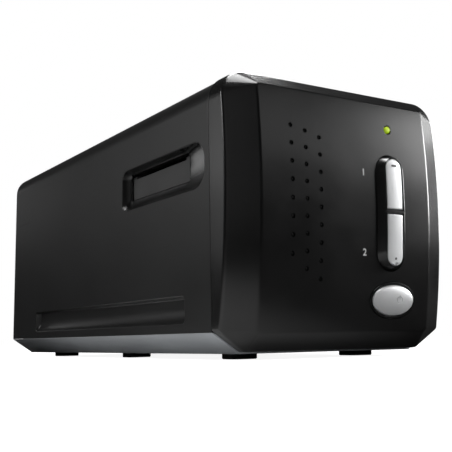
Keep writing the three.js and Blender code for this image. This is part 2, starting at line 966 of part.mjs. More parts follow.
function gateLower() {
  const x = centred(0, overallWidth - 2 * gate.sideRoom);
  const floor = block(x, [gateFrontY, gateRearY], [gateFloorZ, trackZ]);
  const wallTop = roofZ - gap;
  const walls = [
    [doorway.front - gate.wall, doorway.front],
    [doorway.rear, doorway.rear + gate.wall],
  ].map((y) => block(x, y, [gateFloorZ, wallTop]));
  const earY = [
    detentPlace.y - detent.width / 2 - gap - detent.ear,
    detentPlace.y + detent.width / 2 + gap + detent.ear,
  ];
  const earX = centred(detentPlace.x, detent.earWidth);
  const earZ = [detentPlace.z - detent.earWidth / 2, gateFloorZ + gap];
  const ears = [
    block(earX, [earY[0], earY[0] + detent.ear], earZ),
    block(earX, [earY[1] - detent.ear, earY[1]], earZ),
  ];
  const pinHole = cylinderY(
    detent.pinRadius + gap,
    detentPlace.x,
    detentPlace.z,
    earY[0] - overrun,
    earY[1] + overrun,
    detent.sides,
  );
  const noseX = detentPlace.x + detent.length - detent.noseWidth / 2;
  const noseSlot = block(
    centred(noseX, detent.noseWidth + 2 * detent.slotRoom),
    centred(detentPlace.y, detent.width + 2 * gap),
    [gateFloorZ - overrun, trackZ + overrun],
  );
  return cut(unite(floor, ...walls, ...ears), gateWindow(), pinHole, noseSlot);
}

function gateUpper() {
  const x = centred(0, overallWidth - 2 * gate.roofRoom);
  return cut(block(x, [gateFrontY, gateRearY], [roofZ, roofZ + gate.roofThickness]), gateWindow());
}

// Lever under the track: its nose clicks into the notches of the film holder
function detentArm() {
  const { x, y, z } = detentPlace;
  const across = centred(y, detent.width);
  const tipX = x + detent.length;
  const arm = block([x, tipX], across, centred(z, detent.thickness));
  const noseX = [tipX - detent.noseWidth, tipX];
  const nose = extrudeY(
    [
      [noseX[0], z],
      [noseX[1], z],
      [noseX[1], trackZ],
      [tipX - detent.noseWidth / 2, trackZ + detent.noseRise],
      [noseX[0], trackZ],
    ],
    ...across,
  );
  const knuckle = cylinderY(detent.knuckleRadius, x, z, ...across, detent.sides);
  const pin = cylinderY(
    detent.pinRadius,
    x,
    z,
    across[0] - gap - detent.ear,
    across[1] + gap + detent.ear,
    detent.sides,
  );
  return unite(arm, nose, knuckle, pin);
}

// Chassis

function chassisFrame() {
  const x = centred(0, overallWidth - 2 * chassis.sideRoom);
  const rear = rearPanelY - chassis.rearRoom;
  const floor = block(x, [chassisFrontY, rear], [chassisZ, chassisTop]);
  const wallX = centred(0, chassis.wallWidth);
  const frontWall = block(
    wallX,
    [chassisFrontY, chassisFrontY + chassis.wall],
    [chassisZ, chassis.wallTop],
  );
  const boardUpright = block(
    centred(statusLight.x, chassis.uprightWidth),
    [chassisFrontY, chassisFrontY + chassis.wall],
    [chassisZ, chassis.uprightTop],
  );
  const rearWall = block(
    wallX,
    [rearBracketY, rearBracketY + chassis.rearWall],
    [chassisZ, chassis.wallTop],
  );
  const postY = [gateFrontY + chassis.post / 2, gateRearY - chassis.post / 2];
  const posts = postY.flatMap((y) =>
    [-1, 1].map((side) =>
      block(
        centred(side * chassis.postSpread, chassis.post),
        centred(y, chassis.post),
        [chassisZ, gateFloorZ - gap],
      ),
    ),
  );
  const standOffs = [boardRearY - board.inset, boardRearY - board.depth + board.inset].flatMap((y) =>
    [-1, 1].map((side) =>
      cylinderZ(
        board.standOffRadius,
        side * (board.halfWidth - board.inset),
        y,
        chassisZ,
        boardZ - gap,
        screw.sides,
      ),
    ),
  );
  const screwBosses = screwPlaces.flatMap((y) =>
    [-1, 1].map((side) =>
      cylinderZ(
        screw.bossRadius,
        side * screw.spread,
        y,
        chassisZ,
        chassisTop + screw.bossHeight,
        screw.sides,
      ),
    ),
  );
  const rearUprights = [-1, 1].map((side) =>
    block(
      centred(side * rearScrew.spread, rearScrew.uprightWidth),
      [rearPanelY - gap - rearScrew.uprightDepth, rearPanelY - gap],
      [chassisZ, rearScrew.uprightTop],
    ),
  );
  const through = [chassisFrontY - overrun, rearBracketY + chassis.rearWall + overrun];
  const rodHoles = [-1, 1].map((side) =>
    cylinderY(rod.radius + gap, side * rod.spread, rodZ, ...through, rod.sides),
  );
  const leadHole = cylinderY(leadScrew.radius + gap, 0, leadScrewZ, ...through, leadScrew.sides);
  const screwHoles = screwPlaces.flatMap((y) =>
    [-1, 1].map((side) =>
      cylinderZ(
        screw.shankRadius + gap,
        side * screw.spread,
        y,
        chassisZ - overrun,
        chassisTop + screw.bossHeight - gap,
        screw.sides,
      ),
    ),
  );
  const rearHoles = [-1, 1].map((side) =>
    cylinderY(
      screw.shankRadius + gap,
      side * rearScrew.spread,
      rearScrew.height,
      rearPanelY - gap - screw.length,
      rearPanelY + overrun,
      screw.sides,
    ),
  );
  const inside = extrudeY(inset(shellOutline, body.wall + gap), faceY, rearY);
  const frame = unite(
    floor,
    frontWall,
    boardUpright,
    rearWall,
    ...posts,
    ...standOffs,
    ...screwBosses,
    ...rearUprights,
  );
  return cut(
    frame.intersect(inside),
    ...rodHoles,
    leadHole,
    ...screwHoles,
    ...rearHoles,
  );
}

// Carriage and optics

function carriageFrame() {
  const { plate } = carriage;
  const benchX = centred(0, carriage.width);
  const frameX = centred(0, carriage.frameWidth);
  const benchTop = benchZ + plate;
  const cheekTop = benchTop + carriage.cheekRise;
  const backY = [backWallY, backWallY + carriage.backWall];
  const bench = block(benchX, [benchFrontY, benchRearY], [benchZ, benchTop]);
  const cheeks = [-1, 1].map((side) =>
    mirrored(block([frameX[0], frameX[0] + plate], [benchFrontY, backY[1]], [benchZ, cheekTop]), side),
  );
  const backWall = block(frameX, backY, [benchZ, armZ + plate]);
  const arm = block(frameX, [benchFrontY, backY[1]], [armZ, armZ + plate]);
  const endWall = block(frameX, [benchRearY - plate, benchRearY], [benchZ, cheekTop]);
  const bearingX = [-rod.spread - carriage.bearingWidth / 2 + 1.5 * gap, benchX[0] + plate];
  const bearingZ = centred(rodZ, carriage.bearingHeight);
  const bearingY = [backY[0] + carriage.backWall, benchRearY - carriage.bearingLength];
  const bearings = bearingY.flatMap((y) =>
    [-1, 1].map((side) => mirrored(block(bearingX, [y, y + carriage.bearingLength], bearingZ), side)),
  );
  const bores = [-1, 1].map((side) =>
    cylinderY(
      rod.radius + gap,
      side * rod.spread,
      rodZ,
      benchFrontY - overrun,
      benchRearY + overrun,
      rod.sides,
    ),
  );
  const lensHole = cylinderY(
    lens.radius + gap,
    0,
    mirrorZ(),
    backY[0] - overrun,
    backY[1] + overrun,
    lens.sides,
  );
  return cut(unite(bench, ...cheeks, backWall, arm, endWall, ...bearings), ...bores, lensHole);
}

const mirrorZ = () => benchZ + mirror.rise;

function lampHousing() {
  const top = armZ - gap;
  const low = top - lamp.height;
  const outer = block(centred(0, lamp.width), centred(scanY, lamp.length), [low, top]);
  const cavity = block(
    centred(0, lamp.width - 2 * lamp.wall),
    centred(scanY, lamp.length - 2 * lamp.wall),
    [low - overrun, low + lamp.cavity],
  );
  return cut(outer, cavity);
}

function lampDiffuser() {
  const low = armZ - gap - lamp.height + lamp.diffuserRise;
  const inner = 2 * (lamp.wall + gap);
  return block(
    centred(0, lamp.width - inner),
    centred(scanY, lamp.length - inner),
    [low, low + lamp.diffuser],
  );
}

function foldMirror() {
  const geometry = new THREE.BoxGeometry(mirror.width, mirror.length, mirror.thickness);
  geometry.rotateX(-Math.PI / 4);
  geometry.translate(0, scanY, mirrorZ());
  return toSolid(geometry);
}

function lensBarrel() {
  const frontY = backWallY - lens.ahead;
  const flangeY = backWallY + carriage.backWall + gap;
  return cut(
    unite(
      cylinderY(lens.radius, 0, mirrorZ(), frontY, frontY + lens.length, lens.sides),
      cylinderY(lens.flangeRadius, 0, mirrorZ(), flangeY, flangeY + lens.flange, lens.sides),
    ),
    cylinderY(lens.boreRadius, 0, mirrorZ(), frontY - overrun, frontY + lens.boreDepth, lens.sides),
  );
}

function sensorBoard() {
  const backY = benchRearY - carriage.plate - gap;
  const frontY = backY - sensor.board;
  return unite(
    block(centred(0, sensor.width), [frontY, backY], centred(mirrorZ(), sensor.height)),
    block(
      centred(0, sensor.chipWidth),
      [frontY - sensor.chipDepth, frontY + gap],
      centred(mirrorZ(), sensor.chipHeight),
    ),
  );
}

const guideRod = (side) =>
  cylinderY(
    rod.radius,
    side * rod.spread,
    rodZ,
    chassisFrontY + gap,
    rearBracketY + chassis.rearWall - gap,
    rod.sides,
  );

const motorFrontY = rearBracketY + chassis.rearWall + gap;

function leadScrewShaft() {
  const endY = motorFrontY + motor.shaftSeat;
  return cylinderY(leadScrew.radius, 0, leadScrewZ, chassisFrontY + gap, endY, leadScrew.sides);
}

function driveNut() {
  const y = [backWallY + nut.from, backWallY + nut.from + nut.length];
  const carrier = block(centred(0, nut.width), y, [leadScrewZ - nut.below, benchZ - gap]);
  return cut(
    carrier,
    cylinderY(leadScrew.radius + gap, 0, leadScrewZ, y[0] - overrun, y[1] + overrun, leadScrew.sides),
  );
}

function stepperMotor() {
  const flange = block(
    centred(0, motor.flangeWidth),
    [motorFrontY, motorFrontY + motor.flange],
    centred(leadScrewZ, motor.flangeHeight),
  );
  const can = cylinderY(
    motor.radius,
    0,
    leadScrewZ,
    motorFrontY + gap,
    motorFrontY + motor.length,
    motor.sides,
  );
  const seat = cylinderY(
    leadScrew.radius + gap,
    0,
    leadScrewZ,
    motorFrontY - overrun,
    motorFrontY + motor.shaftSeat + gap,
    leadScrew.sides,
  );
  return cut(unite(flange, can), seat);
}

// Main board and sockets

function mainBoard() {
  const frontY = boardRearY - board.depth;
  const plate = block(centred(0, 2 * board.halfWidth), [frontY, boardRearY], [boardZ, boardTop]);
  const parts = chips.map(({ x, behind, width, length, height }) =>
    block(centred(x, width), centred(frontY + behind, length), [boardTop - gap, boardTop + height]),
  );
  return unite(plate, ...parts);
}

const socketBackY = rearPanelY + rearPanel.thickness;

function usbSocket() {
  const x = centred(usb.x, usb.width);
  const z = [boardTop + gap, boardTop + gap + usb.height];
  const middleZ = (z[0] + z[1]) / 2;
  const cavity = block(
    [x[0] + usb.wallX, x[1] - usb.wallX],
    [socketBackY - usb.depth, socketBackY + overrun],
    [z[0] + usb.wallZ, z[1] - usb.wallZ],
  );
  const tongue = block(
    centred(usb.x, usb.tongueWidth),
    [socketBackY - usb.depth - gap, socketBackY - usb.depth + usb.tongueLength],
    centred(middleZ, usb.tongueHeight),
  );
  return unite(cut(block(x, [socketBackY - usb.length, socketBackY], z), cavity), tongue);
}

function powerSocket() {
  const z = [boardTop + gap, boardTop + gap + power.height];
  const middleZ = (z[0] + z[1]) / 2;
  const bottomY = socketBackY - power.depth;
  const bore = cylinderY(power.radius, power.x, middleZ, bottomY, socketBackY + overrun, power.sides);
  const pin = cylinderY(
    power.pinRadius,
    power.x,
    middleZ,
    bottomY - gap,
    bottomY + power.pinLength,
    power.sides,
  );
  return unite(
    cut(block(centred(power.x, power.width), [socketBackY - power.length, socketBackY], z), bore),
    pin,
  );
}

// Screws

function trayScrew(side, y) {
  const low = body.underside + gap / 2;
  const x = side * screw.spread;
  const underHead = low + screw.headHeight;
  return cut(
    unite(
      cylinderZ(screw.headRadius, x, y, low, underHead, screw.sides),
      cylinderZ(screw.shankRadius, x, y, low, underHead + screw.length, screw.sides),
    ),
    cylinderZ(screw.recessRadius, x, y, low - overrun, low + screw.recessDepth, screw.recessSides),
  );
}

function rearPanelScrew(side) {
  const x = side * rearScrew.spread;
  const underHead = socketBackY + gap;
  const outerY = underHead + screw.headHeight;
  return cut(
    unite(
      cylinderY(screw.headRadius, x, rearScrew.height, underHead, outerY, screw.sides),
      cylinderY(screw.shankRadius, x, rearScrew.height, outerY - screw.length, outerY, screw.sides),
    ),
    cylinderY(
      screw.recessRadius,
      x,
      rearScrew.height,
      outerY - screw.recessDepth,
      outerY + overrun,
      screw.recessSides,
    ),
  );
}

// Finishes: colour, roughness and metalness

const finishes = {
  blackShell: ["#141416", 0.38, 0],
  blackGloss: ["#0c0c0e", 0.22, 0],
  silverTray: ["#8f9296", 0.42, 0.6],
  silverButton: ["#c9cbce", 0.3, 0.7],
  rubber: ["#101010", 0.85, 0],
  darkPlastic: ["#1d1e20", 0.6, 0],
  greyPlastic: ["#54575b", 0.55, 0],
  steel: ["#b9bcc0", 0.3, 1],
  brass: ["#b8954a", 0.35, 1],
  circuitBoard: ["#1f5a34", 0.5, 0],
  lightGreen: ["#c8e639", 0.25, 0],
  diffuser: ["#eef0ee", 0.5, 0],
  mirror: ["#dfe4e8", 0.05, 1],
};

const group = new THREE.Group();

function piece(name, solid, finish) {
  const [color, roughness, metalness] = finishes[finish];
  const mesh = new THREE.Mesh(
    toGeometry(solid),
    new THREE.MeshStandardMaterial({ color, roughness, metalness }),
  );
  mesh.name = name;
  group.add(mesh);
}

const sideNames = [
  ["left", -1],
  ["right", 1],
];

piece("outer_cover", outerCover(), "blackShell");
piece("base_tray", baseTray(), "silverTray");
piece("front_bezel", frontBezel(), "blackGloss");
piece("rear_panel", rearPanelPlate(), "darkPlastic");
for (const [name, side] of sideNames) {
  ["front", "middle", "rear"].forEach((row, i) => {
    piece(`foot_${name}_${row}`, footPad(side, footPlaces[i]), "rubber");
  });
  piece(`dust_door_${name}`, dustDoor(side), "darkPlastic");
  piece(`guide_rod_${name}`, guideRod(side), "steel");
  ["front", "rear"].forEach((row, i) => {
    piece(`tray_screw_${name}_${row}`, trayScrew(side, screwPlaces[i]), "steel");
  });
  piece(`rear_screw_${name}`, rearPanelScrew(side), "steel");
}
piece("button_frame", buttonFrame(), "blackGloss");
piece("upper_scan_button", scanButtonCap(1), "silverButton");
piece("lower_scan_button", scanButtonCap(-1), "silverButton");
piece("power_ring", powerRing(), "blackGloss");
piece("power_button", powerButtonCap(), "silverButton");
piece("status_light_pipe", lightPipe(), "lightGreen");
piece("button_board", buttonBoardPlate(), "circuitBoard");
piece("upper_scan_switch", switchUnit(controls.x, scanStemZ(1)), "darkPlastic");
piece("lower_scan_switch", switchUnit(controls.x, scanStemZ(-1)), "darkPlastic");
piece("power_switch", switchUnit(powerButton.x, powerButton.height), "darkPlastic");
piece("chassis_frame", chassisFrame(), "greyPlastic");
piece("film_gate_lower", gateLower(), "darkPlastic");
piece("film_gate_upper", gateUpper(), "darkPlastic");
piece("detent_arm", detentArm(), "greyPlastic");
piece("carriage_frame", carriageFrame(), "greyPlastic");
piece("lamp_housing", lampHousing(), "darkPlastic");
piece("lamp_diffuser", lampDiffuser(), "diffuser");
piece("fold_mirror", foldMirror(), "mirror");
piece("lens_barrel", lensBarrel(), "darkPlastic");
piece("sensor_board", sensorBoard(), "circuitBoard");
piece("lead_screw", leadScrewShaft(), "steel");
piece("drive_nut", driveNut(), "brass");
piece("stepper_motor", stepperMotor(), "steel");
piece("main_board", mainBoard(), "circuitBoard");
piece("usb_socket", usbSocket(), "steel");
piece("power_socket", powerSocket(), "darkPlastic");

export default group;
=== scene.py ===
import json
import math
from contextlib import contextmanager

import bmesh
import bpy
from mathutils import Matrix, Vector


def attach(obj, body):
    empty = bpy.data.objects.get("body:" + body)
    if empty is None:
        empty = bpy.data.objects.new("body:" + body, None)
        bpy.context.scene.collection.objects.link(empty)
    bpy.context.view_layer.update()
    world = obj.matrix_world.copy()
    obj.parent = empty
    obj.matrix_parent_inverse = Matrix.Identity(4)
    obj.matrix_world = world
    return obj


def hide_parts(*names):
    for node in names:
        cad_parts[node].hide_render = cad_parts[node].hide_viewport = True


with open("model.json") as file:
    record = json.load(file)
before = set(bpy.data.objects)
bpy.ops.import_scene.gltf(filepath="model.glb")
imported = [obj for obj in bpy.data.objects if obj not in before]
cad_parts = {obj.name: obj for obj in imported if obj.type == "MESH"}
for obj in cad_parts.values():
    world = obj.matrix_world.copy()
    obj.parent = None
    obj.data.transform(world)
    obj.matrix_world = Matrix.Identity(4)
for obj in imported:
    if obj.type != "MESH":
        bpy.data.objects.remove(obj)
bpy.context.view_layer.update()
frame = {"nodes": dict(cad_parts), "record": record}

MM = 0.001


def mm(*sizes):
    """Sizes in millimetres, as metres."""
    return tuple(size * MM for size in sizes)


# Sizes of the scanner, in metres
HALF_WIDTH = 60 * MM
TOP = 118.5 * MM
COVER_TOP = 118 * MM
FACE_Y = -132.8 * MM
SEAM_Y = -114.8 * MM
SHELL_Y = -114.4 * MM
REAR_Y = 136 * MM
CORNER_RADIUS = 11.5 * MM
LOWER_CUT = mm(12.7, 8.6)
WALL = 2.5 * MM
TRAY_LOW = 2.5 * MM
TRAY_TOP = 11.1 * MM
GAP = 0.3 * MM
BOW_RADIUS = 350 * MM
BOW_HEIGHT = 76 * MM
CONTROLS_X = 22.9 * MM
SIDES = {-1: "left", 1: "right"}
CLOSE = 0.01 * MM
OVERRUN = 2 * MM


def node(tree, kind, inputs=None, **settings):
    """Adds a node with its settings; an input is a value or another node's output."""
    made = tree.nodes.new(f"ShaderNode{kind}")
    for name, value in settings.items():
        setattr(made, name, value)
    for name, value in (inputs or {}).items():
        if isinstance(value, bpy.types.NodeSocket):
            tree.links.new(value, made.inputs[name])
        else:
            made.inputs[name].default_value = value
    return made


def here(tree):
    """The place on the object, in its own coordinates."""
    return node(tree, "TexCoord").outputs["Object"]


def ramp(tree, value, span, ends=(0, 1)):
    """A value moved from one range to another, and held at its ends."""
    made = node(tree, "MapRange", {"Value": value, "From Min": span[0], "From Max": span[1],
                                   "To Min": ends[0], "To Max": ends[1]})
    return made.outputs["Result"]


def math_node(tree, operation, *values):
    return node(tree, "Math", dict(enumerate(values)), operation=operation).outputs[0]


def mixed(tree, share, first, second, kind="RGBA"):
    """Two colours, or two values, mixed by the share of the second."""
    inputs = {"Factor": share, "A": first, "B": second}
    return node(tree, "Mix", inputs, data_type=kind).outputs["Result"]


# Camera, stage and light

CAMERA_PLACE = mm(-230.1, -396.7, 8.5)
CAMERA_YAW = 32.71
CAMERA_PITCH = 9.43
CAMERA_ROLL = -1.07
FOCAL_PIXELS = 818
FRAME_PIXELS = 452
SENSOR_WIDTH = 36
CAMERA_SHIFT = (-0.0146, -0.05)


def camera():
    """A camera low at the front left corner, as the photograph has it."""
    yaw, pitch, roll = map(math.radians, (CAMERA_YAW, CAMERA_PITCH, CAMERA_ROLL))
    forward = Vector((math.sin(yaw) * math.cos(pitch), math.cos(yaw) * math.cos(pitch), math.sin(pitch)))
    level = Vector((math.cos(yaw), -math.sin(yaw), 0))
    rise = level.cross(forward)
    right = level * math.cos(roll) + rise * math.sin(roll)
    up = rise * math.cos(roll) - level * math.sin(roll)
    lens = bpy.data.cameras.new("camera")
    lens.sensor_width = SENSOR_WIDTH
    lens.lens = FOCAL_PIXELS * SENSOR_WIDTH / FRAME_PIXELS
    lens.shift_x, lens.shift_y = CAMERA_SHIFT
    lens.clip_start = MM
    stand = bpy.data.objects.new("camera", lens)
    bpy.context.scene.collection.objects.link(stand)
    axes = Matrix((right, up, -forward)).transposed().to_4x4()
    stand.matrix_world = Matrix.Translation(CAMERA_PLACE) @ axes
    bpy.context.scene.camera = stand


MIDDLE = (0, 0, 60 * MM)
GLOSS_LAMPS = (  # name, place, width and height, power: for highlights only
    ("roof_lamp", (0, 0, 1.6), (0.6, 0.6), 21.5),
    ("roll_lamp", (0.6, 0.75, 1.15), (0.35, 0.35), 16.6),
    ("roll_end_lamp", (0.45, 0.75, 1.2), (0.35, 0.35), 11),
    ("slot_lamp", (-0.2, 1.6, 0.4), (0.2, 0.2), 0.15),
    ("slot_low_lamp", (-0.2, 1.6, 0.3), (0.2, 0.2), 0.06),
)
SOFTBOXES = (
    ("roof_front_softbox", (0, -0.6, 1.5), (0.6, 0.6), 13.5),
    ("left_softbox", (-1.5, 0.8, 0.75), (0.5, 0.35), 4.4),
    ("left_near_softbox", (-1.05, 1.25, 0.55), (0.35, 0.3), 0.36),
    ("left_near_low_softbox", (-1.05, 1.25, 0.35), (0.35, 0.3), 0.22),
    ("front_softbox", (0.75, -1.4, 0.65), (0.5, 0.4), 0.45),
    ("corner_softbox", (1.25, -0.95, 0.55), (0.5, 0.35), 4.1),
    ("corner_low_softbox", (1.25, -0.95, 0.22), (0.5, 0.3), 0.9),
    ("right_front_softbox", (1.5, -0.5, 0.4), (0.4, 0.4), 12),
    ("right_softbox", (1.5, -0.1, 0.75), (0.5, 0.5), 2.6),
    ("right_rear_softbox", (1.4, 0.5, 0.4), (0.4, 0.4), 5.2),
    ("right_low_softbox", (1.5, -0.1, 0.3), (0.4, 0.3), 0.08),
    ("near_softbox", (-0.9, -1.4, 0.5), (1.1, 0.9), 0.8),
)
TABLE_LAMP = ("table_softbox", (-0.9, 0.3, 0.9), (0.6, 0.6), 10, (-0.22, -0.09, 0))


def softbox(name, place, size, power, target=MIDDLE, gloss=True, matt=True):
    """A large soft lamp that looks at a point; it may miss out gloss, or what is matt."""
    lamp = bpy.data.lights.new(name, "AREA")
    lamp.shape = "RECTANGLE"
    lamp.size, lamp.size_y = size
    lamp.energy = power
    stand = bpy.data.objects.new(name, lamp)
    stand.visible_glossy = gloss
    stand.visible_diffuse = matt
    stand.location = place
    stand.rotation_euler = (Vector(target) - Vector(place)).to_track_quat("-Z", "Y").to_euler()
    bpy.context.scene.collection.objects.link(stand)


def lights():
    """Softboxes round the object, and one that only brightens the table at its left."""
    for lamp in GLOSS_LAMPS:
        softbox(*lamp, matt=False)
    for lamp in SOFTBOXES:
        softbox(*lamp)
    softbox(*TABLE_LAMP, gloss=False)


WORLD_SEEN = (1, 1, 1, 1)
WORLD_LIGHT = (0.02, 0.02, 0.021, 1)


def surroundings():
    """A white backdrop that hardly lights the object."""
    world = bpy.data.worlds.new("studio")
    world.use_nodes = True
    bpy.context.scene.world = world
    tree = world.node_tree
    seen = node(tree, "LightPath").outputs["Is Camera Ray"]
    colour = mixed(tree, seen, WORLD_LIGHT, WORLD_SEEN)
    tree.links.new(colour, tree.nodes["Background"].inputs["Color"])
    bpy.context.scene.view_settings.view_transform = "Standard"


FLOOR_SIZE = 12
FLOOR_ROUGHNESS = 0.9
FLOOR_GREY = 0.5
# a centre, two distances from it and the value at each: the glow the camera sees, and a painted pool of
# light in the colour the object sees
FLOOR_SEEN = ((0, 0, 0), (0.3, 0.9), (0.9, 1))
FLOOR_PAINTED_POOL = ((-0.25, -0.12, 0), (0.15, 0.3), (0.85, 0.05))


def fade(tree, centre, distances, values):
    """A value that changes with the distance from a point."""
    away = node(tree, "VectorMath", {0: here(tree), 1: centre}, operation="DISTANCE")
    return ramp(tree, away.outputs["Value"], distances, values)


def floor():
    """A pale table: white to the camera, a little less near the object, and a painted pool of light at the
    object's left front.
    """
    bpy.ops.mesh.primitive_plane_add(size=FLOOR_SIZE)
    plane = bpy.context.object
    plane.name = "floor"
    paint = bpy.data.materials.new("floor")
    paint.use_nodes = True
    tree = paint.node_tree
    shader = tree.nodes["Principled BSDF"].inputs
    shader["Roughness"].default_value = FLOOR_ROUGHNESS
    shader["Specular IOR Level"].default_value = 0
    shader["Emission Color"].default_value = (1, 1, 1, 1)
    seen = node(tree, "LightPath").outputs["Is Camera Ray"]
    glow = math_node(tree, "MULTIPLY", seen, fade(tree, *FLOOR_SEEN))
    # painted pool of light: for all but camera rays the floor's colour is bright at the object's left front
    # and dark further off
    pool_colour = mixed(tree, seen, fade(tree, *FLOOR_PAINTED_POOL), FLOOR_GREY, kind="FLOAT")
    tree.links.new(glow, shader["Emission Strength"])
    tree.links.new(pool_colour, shader["Base Color"])
    plane.data.materials.append(paint)


# Hand tools

ALONG = 0.9  # cosine of the angle within which something runs along an axis
FLAT = 0.999  # the same for a level face
OVAL_SIDES = 64
ROUND_SIDES = 32
SMALL_SIDES = 24


def only(piece):
    """Selects one piece and makes it the active one."""
    bpy.ops.object.select_all(action="DESELECT")
    piece.select_set(True)
    bpy.context.view_layer.objects.active = piece


@contextmanager
def editing(piece):
    """Edit mode on one piece, with nothing selected."""
    only(piece)
    bpy.ops.object.mode_set(mode="EDIT")
    bpy.ops.mesh.select_all(action="DESELECT")
    yield
    bpy.ops.object.mode_set(mode="OBJECT")


def look_at(part):
    """Where a vertex, edge or face is, and which way it points or runs."""
    if isinstance(part, bmesh.types.BMVert):
        return part.co, part.normal
    if isinstance(part, bmesh.types.BMFace):
        return part.calc_center_median(), part.normal
    start, end = (corner.co for corner in part.verts)
    return (start + end) / 2, (end - start).normalized()


def pick(piece, kind, test):
    """Selects the verts, edges or faces whose place and direction pass a test."""
    bpy.ops.mesh.select_mode(type=kind[:-1].upper())
    bpy.ops.mesh.select_all(action="DESELECT")
    shape = bmesh.from_edit_mesh(piece.data)
    for part in getattr(shape, kind):
        part.select_set(bool(test(*look_at(part))))
    shape.select_flush_mode()
    bmesh.update_edit_mesh(piece.data)


def pick_all():
    bpy.ops.mesh.select_all(action="SELECT")


def settle(piece):
    """Puts a piece's place, turn and scale into its mesh."""
    only(piece)
    bpy.ops.object.transform_apply(location=True, rotation=True, scale=True)


def block(name, x, y, z):
    """A cube between two limits along each axis, ready to shape."""
    low, high = (Vector([limit[end] for limit in (x, y, z)]) for end in (0, 1))
    bpy.ops.mesh.primitive_cube_add(size=1, location=(low + high) / 2, scale=high - low)
    piece = bpy.context.object
    piece.name = name
    settle(piece)
    return piece


AXIS_TURNS = {"x": (0, math.pi / 2, 0), "y": (-math.pi / 2, 0, 0), "z": (0, 0, 0)}


def drum(name, axis, radius, start, length, sides=ROUND_SIDES):
    """A cylinder that starts at a point and runs along an axis."""
    bpy.ops.mesh.primitive_cylinder_add(vertices=sides, radius=radius, depth=abs(length),
                                        rotation=AXIS_TURNS[axis])
    piece = bpy.context.object
    piece.name = name
    piece.location = start
    piece.location["xyz".index(axis)] += length / 2
    settle(piece)
    return piece


def edges_along(axis):
    """A test for edges that run along an axis."""
    index = "xyz".index(axis)
    return lambda place, way: abs(way[index]) > ALONG


runs_back = edges_along("y")


def faces_front(place, normal):
    return normal.y < -ALONG


def faces_in(side):
    """A test for faces on one side that look to the middle."""
    return lambda place, normal: normal.x * side < -ALONG


def up_to(y):
    """A test for what lies at a plane across the body, or in front of it."""
    return lambda place, way: place.y < y + CLOSE


def pull(offset):
    """Extrudes the picked faces."""
    bpy.ops.mesh.extrude_region_move(TRANSFORM_OT_translate={"value": offset})


def hollow_out(rims, depth):
    """Sinks the picked face by a depth, inside a flat rim and a sloping one."""
    bpy.ops.mesh.inset(thickness=rims[0])
    bpy.ops.mesh.inset(thickness=rims[1], depth=-depth)


def scale_about(factors, centre):
    bpy.ops.transform.resize(value=factors, center_override=centre)


def slice_at(place, normal):
    """Adds a line of edges round the whole piece in a plane."""
    pick_all()
    bpy.ops.mesh.bisect(plane_co=place, plane_no=normal)


def round_edges(piece, width, steps, test, full=False):
    """Rounds the edges that pass a test; a full rounding may use the whole side of a piece."""
    with editing(piece):
        pick(piece, "edges", test)
        bpy.ops.mesh.bevel(offset=width, segments=steps, affect="EDGES", clamp_overlap=not full)


def modify(piece, kind, **settings):
    """Adds a modifier with its settings and applies it."""
    step = piece.modifiers.new(kind, kind)
    for name, value in settings.items():
        setattr(step, name, value)
    only(piece)
    bpy.ops.object.modifier_apply(modifier=step.name)


def merge_points():
    """Merges points that lie on each other, and leaves the whole piece selected."""
    pick_all()
    bpy.ops.mesh.remove_doubles(threshold=CLOSE / 10)


def combine(piece, other, operation):
    """Joins two solids or cuts one with the other, and uses the other one up."""
    modify(piece, "BOOLEAN", operation=operation, solver="EXACT", object=other)
    bpy.data.objects.remove(other)


def cut_with(piece, *cutters):
    for cutter in cutters:
        combine(piece, cutter, "DIFFERENCE")


def weld(piece, *others):
    for other in others:
        combine(piece, other, "UNION")


def join(pieces):
    """Makes separate solids one object."""
    only(pieces[0])
    for piece in pieces:
        piece.select_set(True)
    bpy.ops.object.join()
    return pieces[0]


def tablet(name, axis, x, y, z, radius, steps=8, where=lambda place: True):
    """A block with its edges along one axis rounded, all or those in some places."""
    piece = block(name, x, y, z)
    along = edges_along(axis)
    round_edges(piece, radius, steps, lambda place, way: along(place, way) and where(place), full=True)
    with editing(piece):
        merge_points()
    return piece


def rod(name, x, z, radius, y, sides=ROUND_SIDES):
    """A round bar between two planes across the body."""
    return drum(name, "y", radius, (x, y[0], z), y[1] - y[0], sides)


def centred(middle, size):
    return middle - size / 2, middle + size / 2


def widened(span, margin):
    """Two limits, moved apart at each end."""
    return span[0] - margin, span[1] + margin


def copy_of(piece, name, offset):
    """A copy with its own mesh, moved by an offset."""
    only(piece)
    bpy.ops.object.duplicate()
    twin = bpy.context.object
    twin.name = name
    twin.location = offset
    settle(twin)
    return twin


SMOOTH_ANGLE = math.radians(35)
COATS = {}  # the finish of each material slot


def hand_over(piece, body, slot, *nodes, look=None):
    """Smooths a finished piece, coats it and puts it on its body in place of its CAD nodes."""
    only(piece)
    bpy.ops.object.shade_smooth_by_angle(angle=SMOOTH_ANGLE)
    modify(piece, "WEIGHTED_NORMAL", keep_sharp=True)
    piece.data.materials.clear()
    piece.data.materials.append(COATS[look or slot])
    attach(piece, body)
    if nodes:
        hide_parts(*nodes)


def bow(height):
    """How far the bowed front lies behind its front-most line at a height."""
    return BOW_RADIUS - math.sqrt(BOW_RADIUS ** 2 - (height - BOW_HEIGHT) ** 2)


MICRON = 1e-6
MICRON_DECIMALS = 6


def set_back(piece, axis, behind, offset):
    """Moves what lies in front of a plane back, by an amount that changes along an axis."""
    index = "xyz".index(axis)
    shape = bmesh.from_edit_mesh(piece.data)
    rows = {round(point.co[index], MICRON_DECIMALS) for point in shape.verts if point.co.y < behind}
    for row in sorted(rows):
        pick(piece, "verts", lambda place, _: place.y < behind and abs(place[index] - row) < MICRON)
        bpy.ops.transform.translate(value=(0, offset(row), 0))


def bow_back(piece, span, rows, behind):
    """Bows a piece whose front is still flat, row by row, in front of a plane."""
    low, high = span
    with editing(piece):
        for i in range(rows + 1):
            slice_at((0, 0, low + (high - low) * i / rows), (0, 0, 1))
        set_back(piece, "z", behind, bow)


# Front bezel

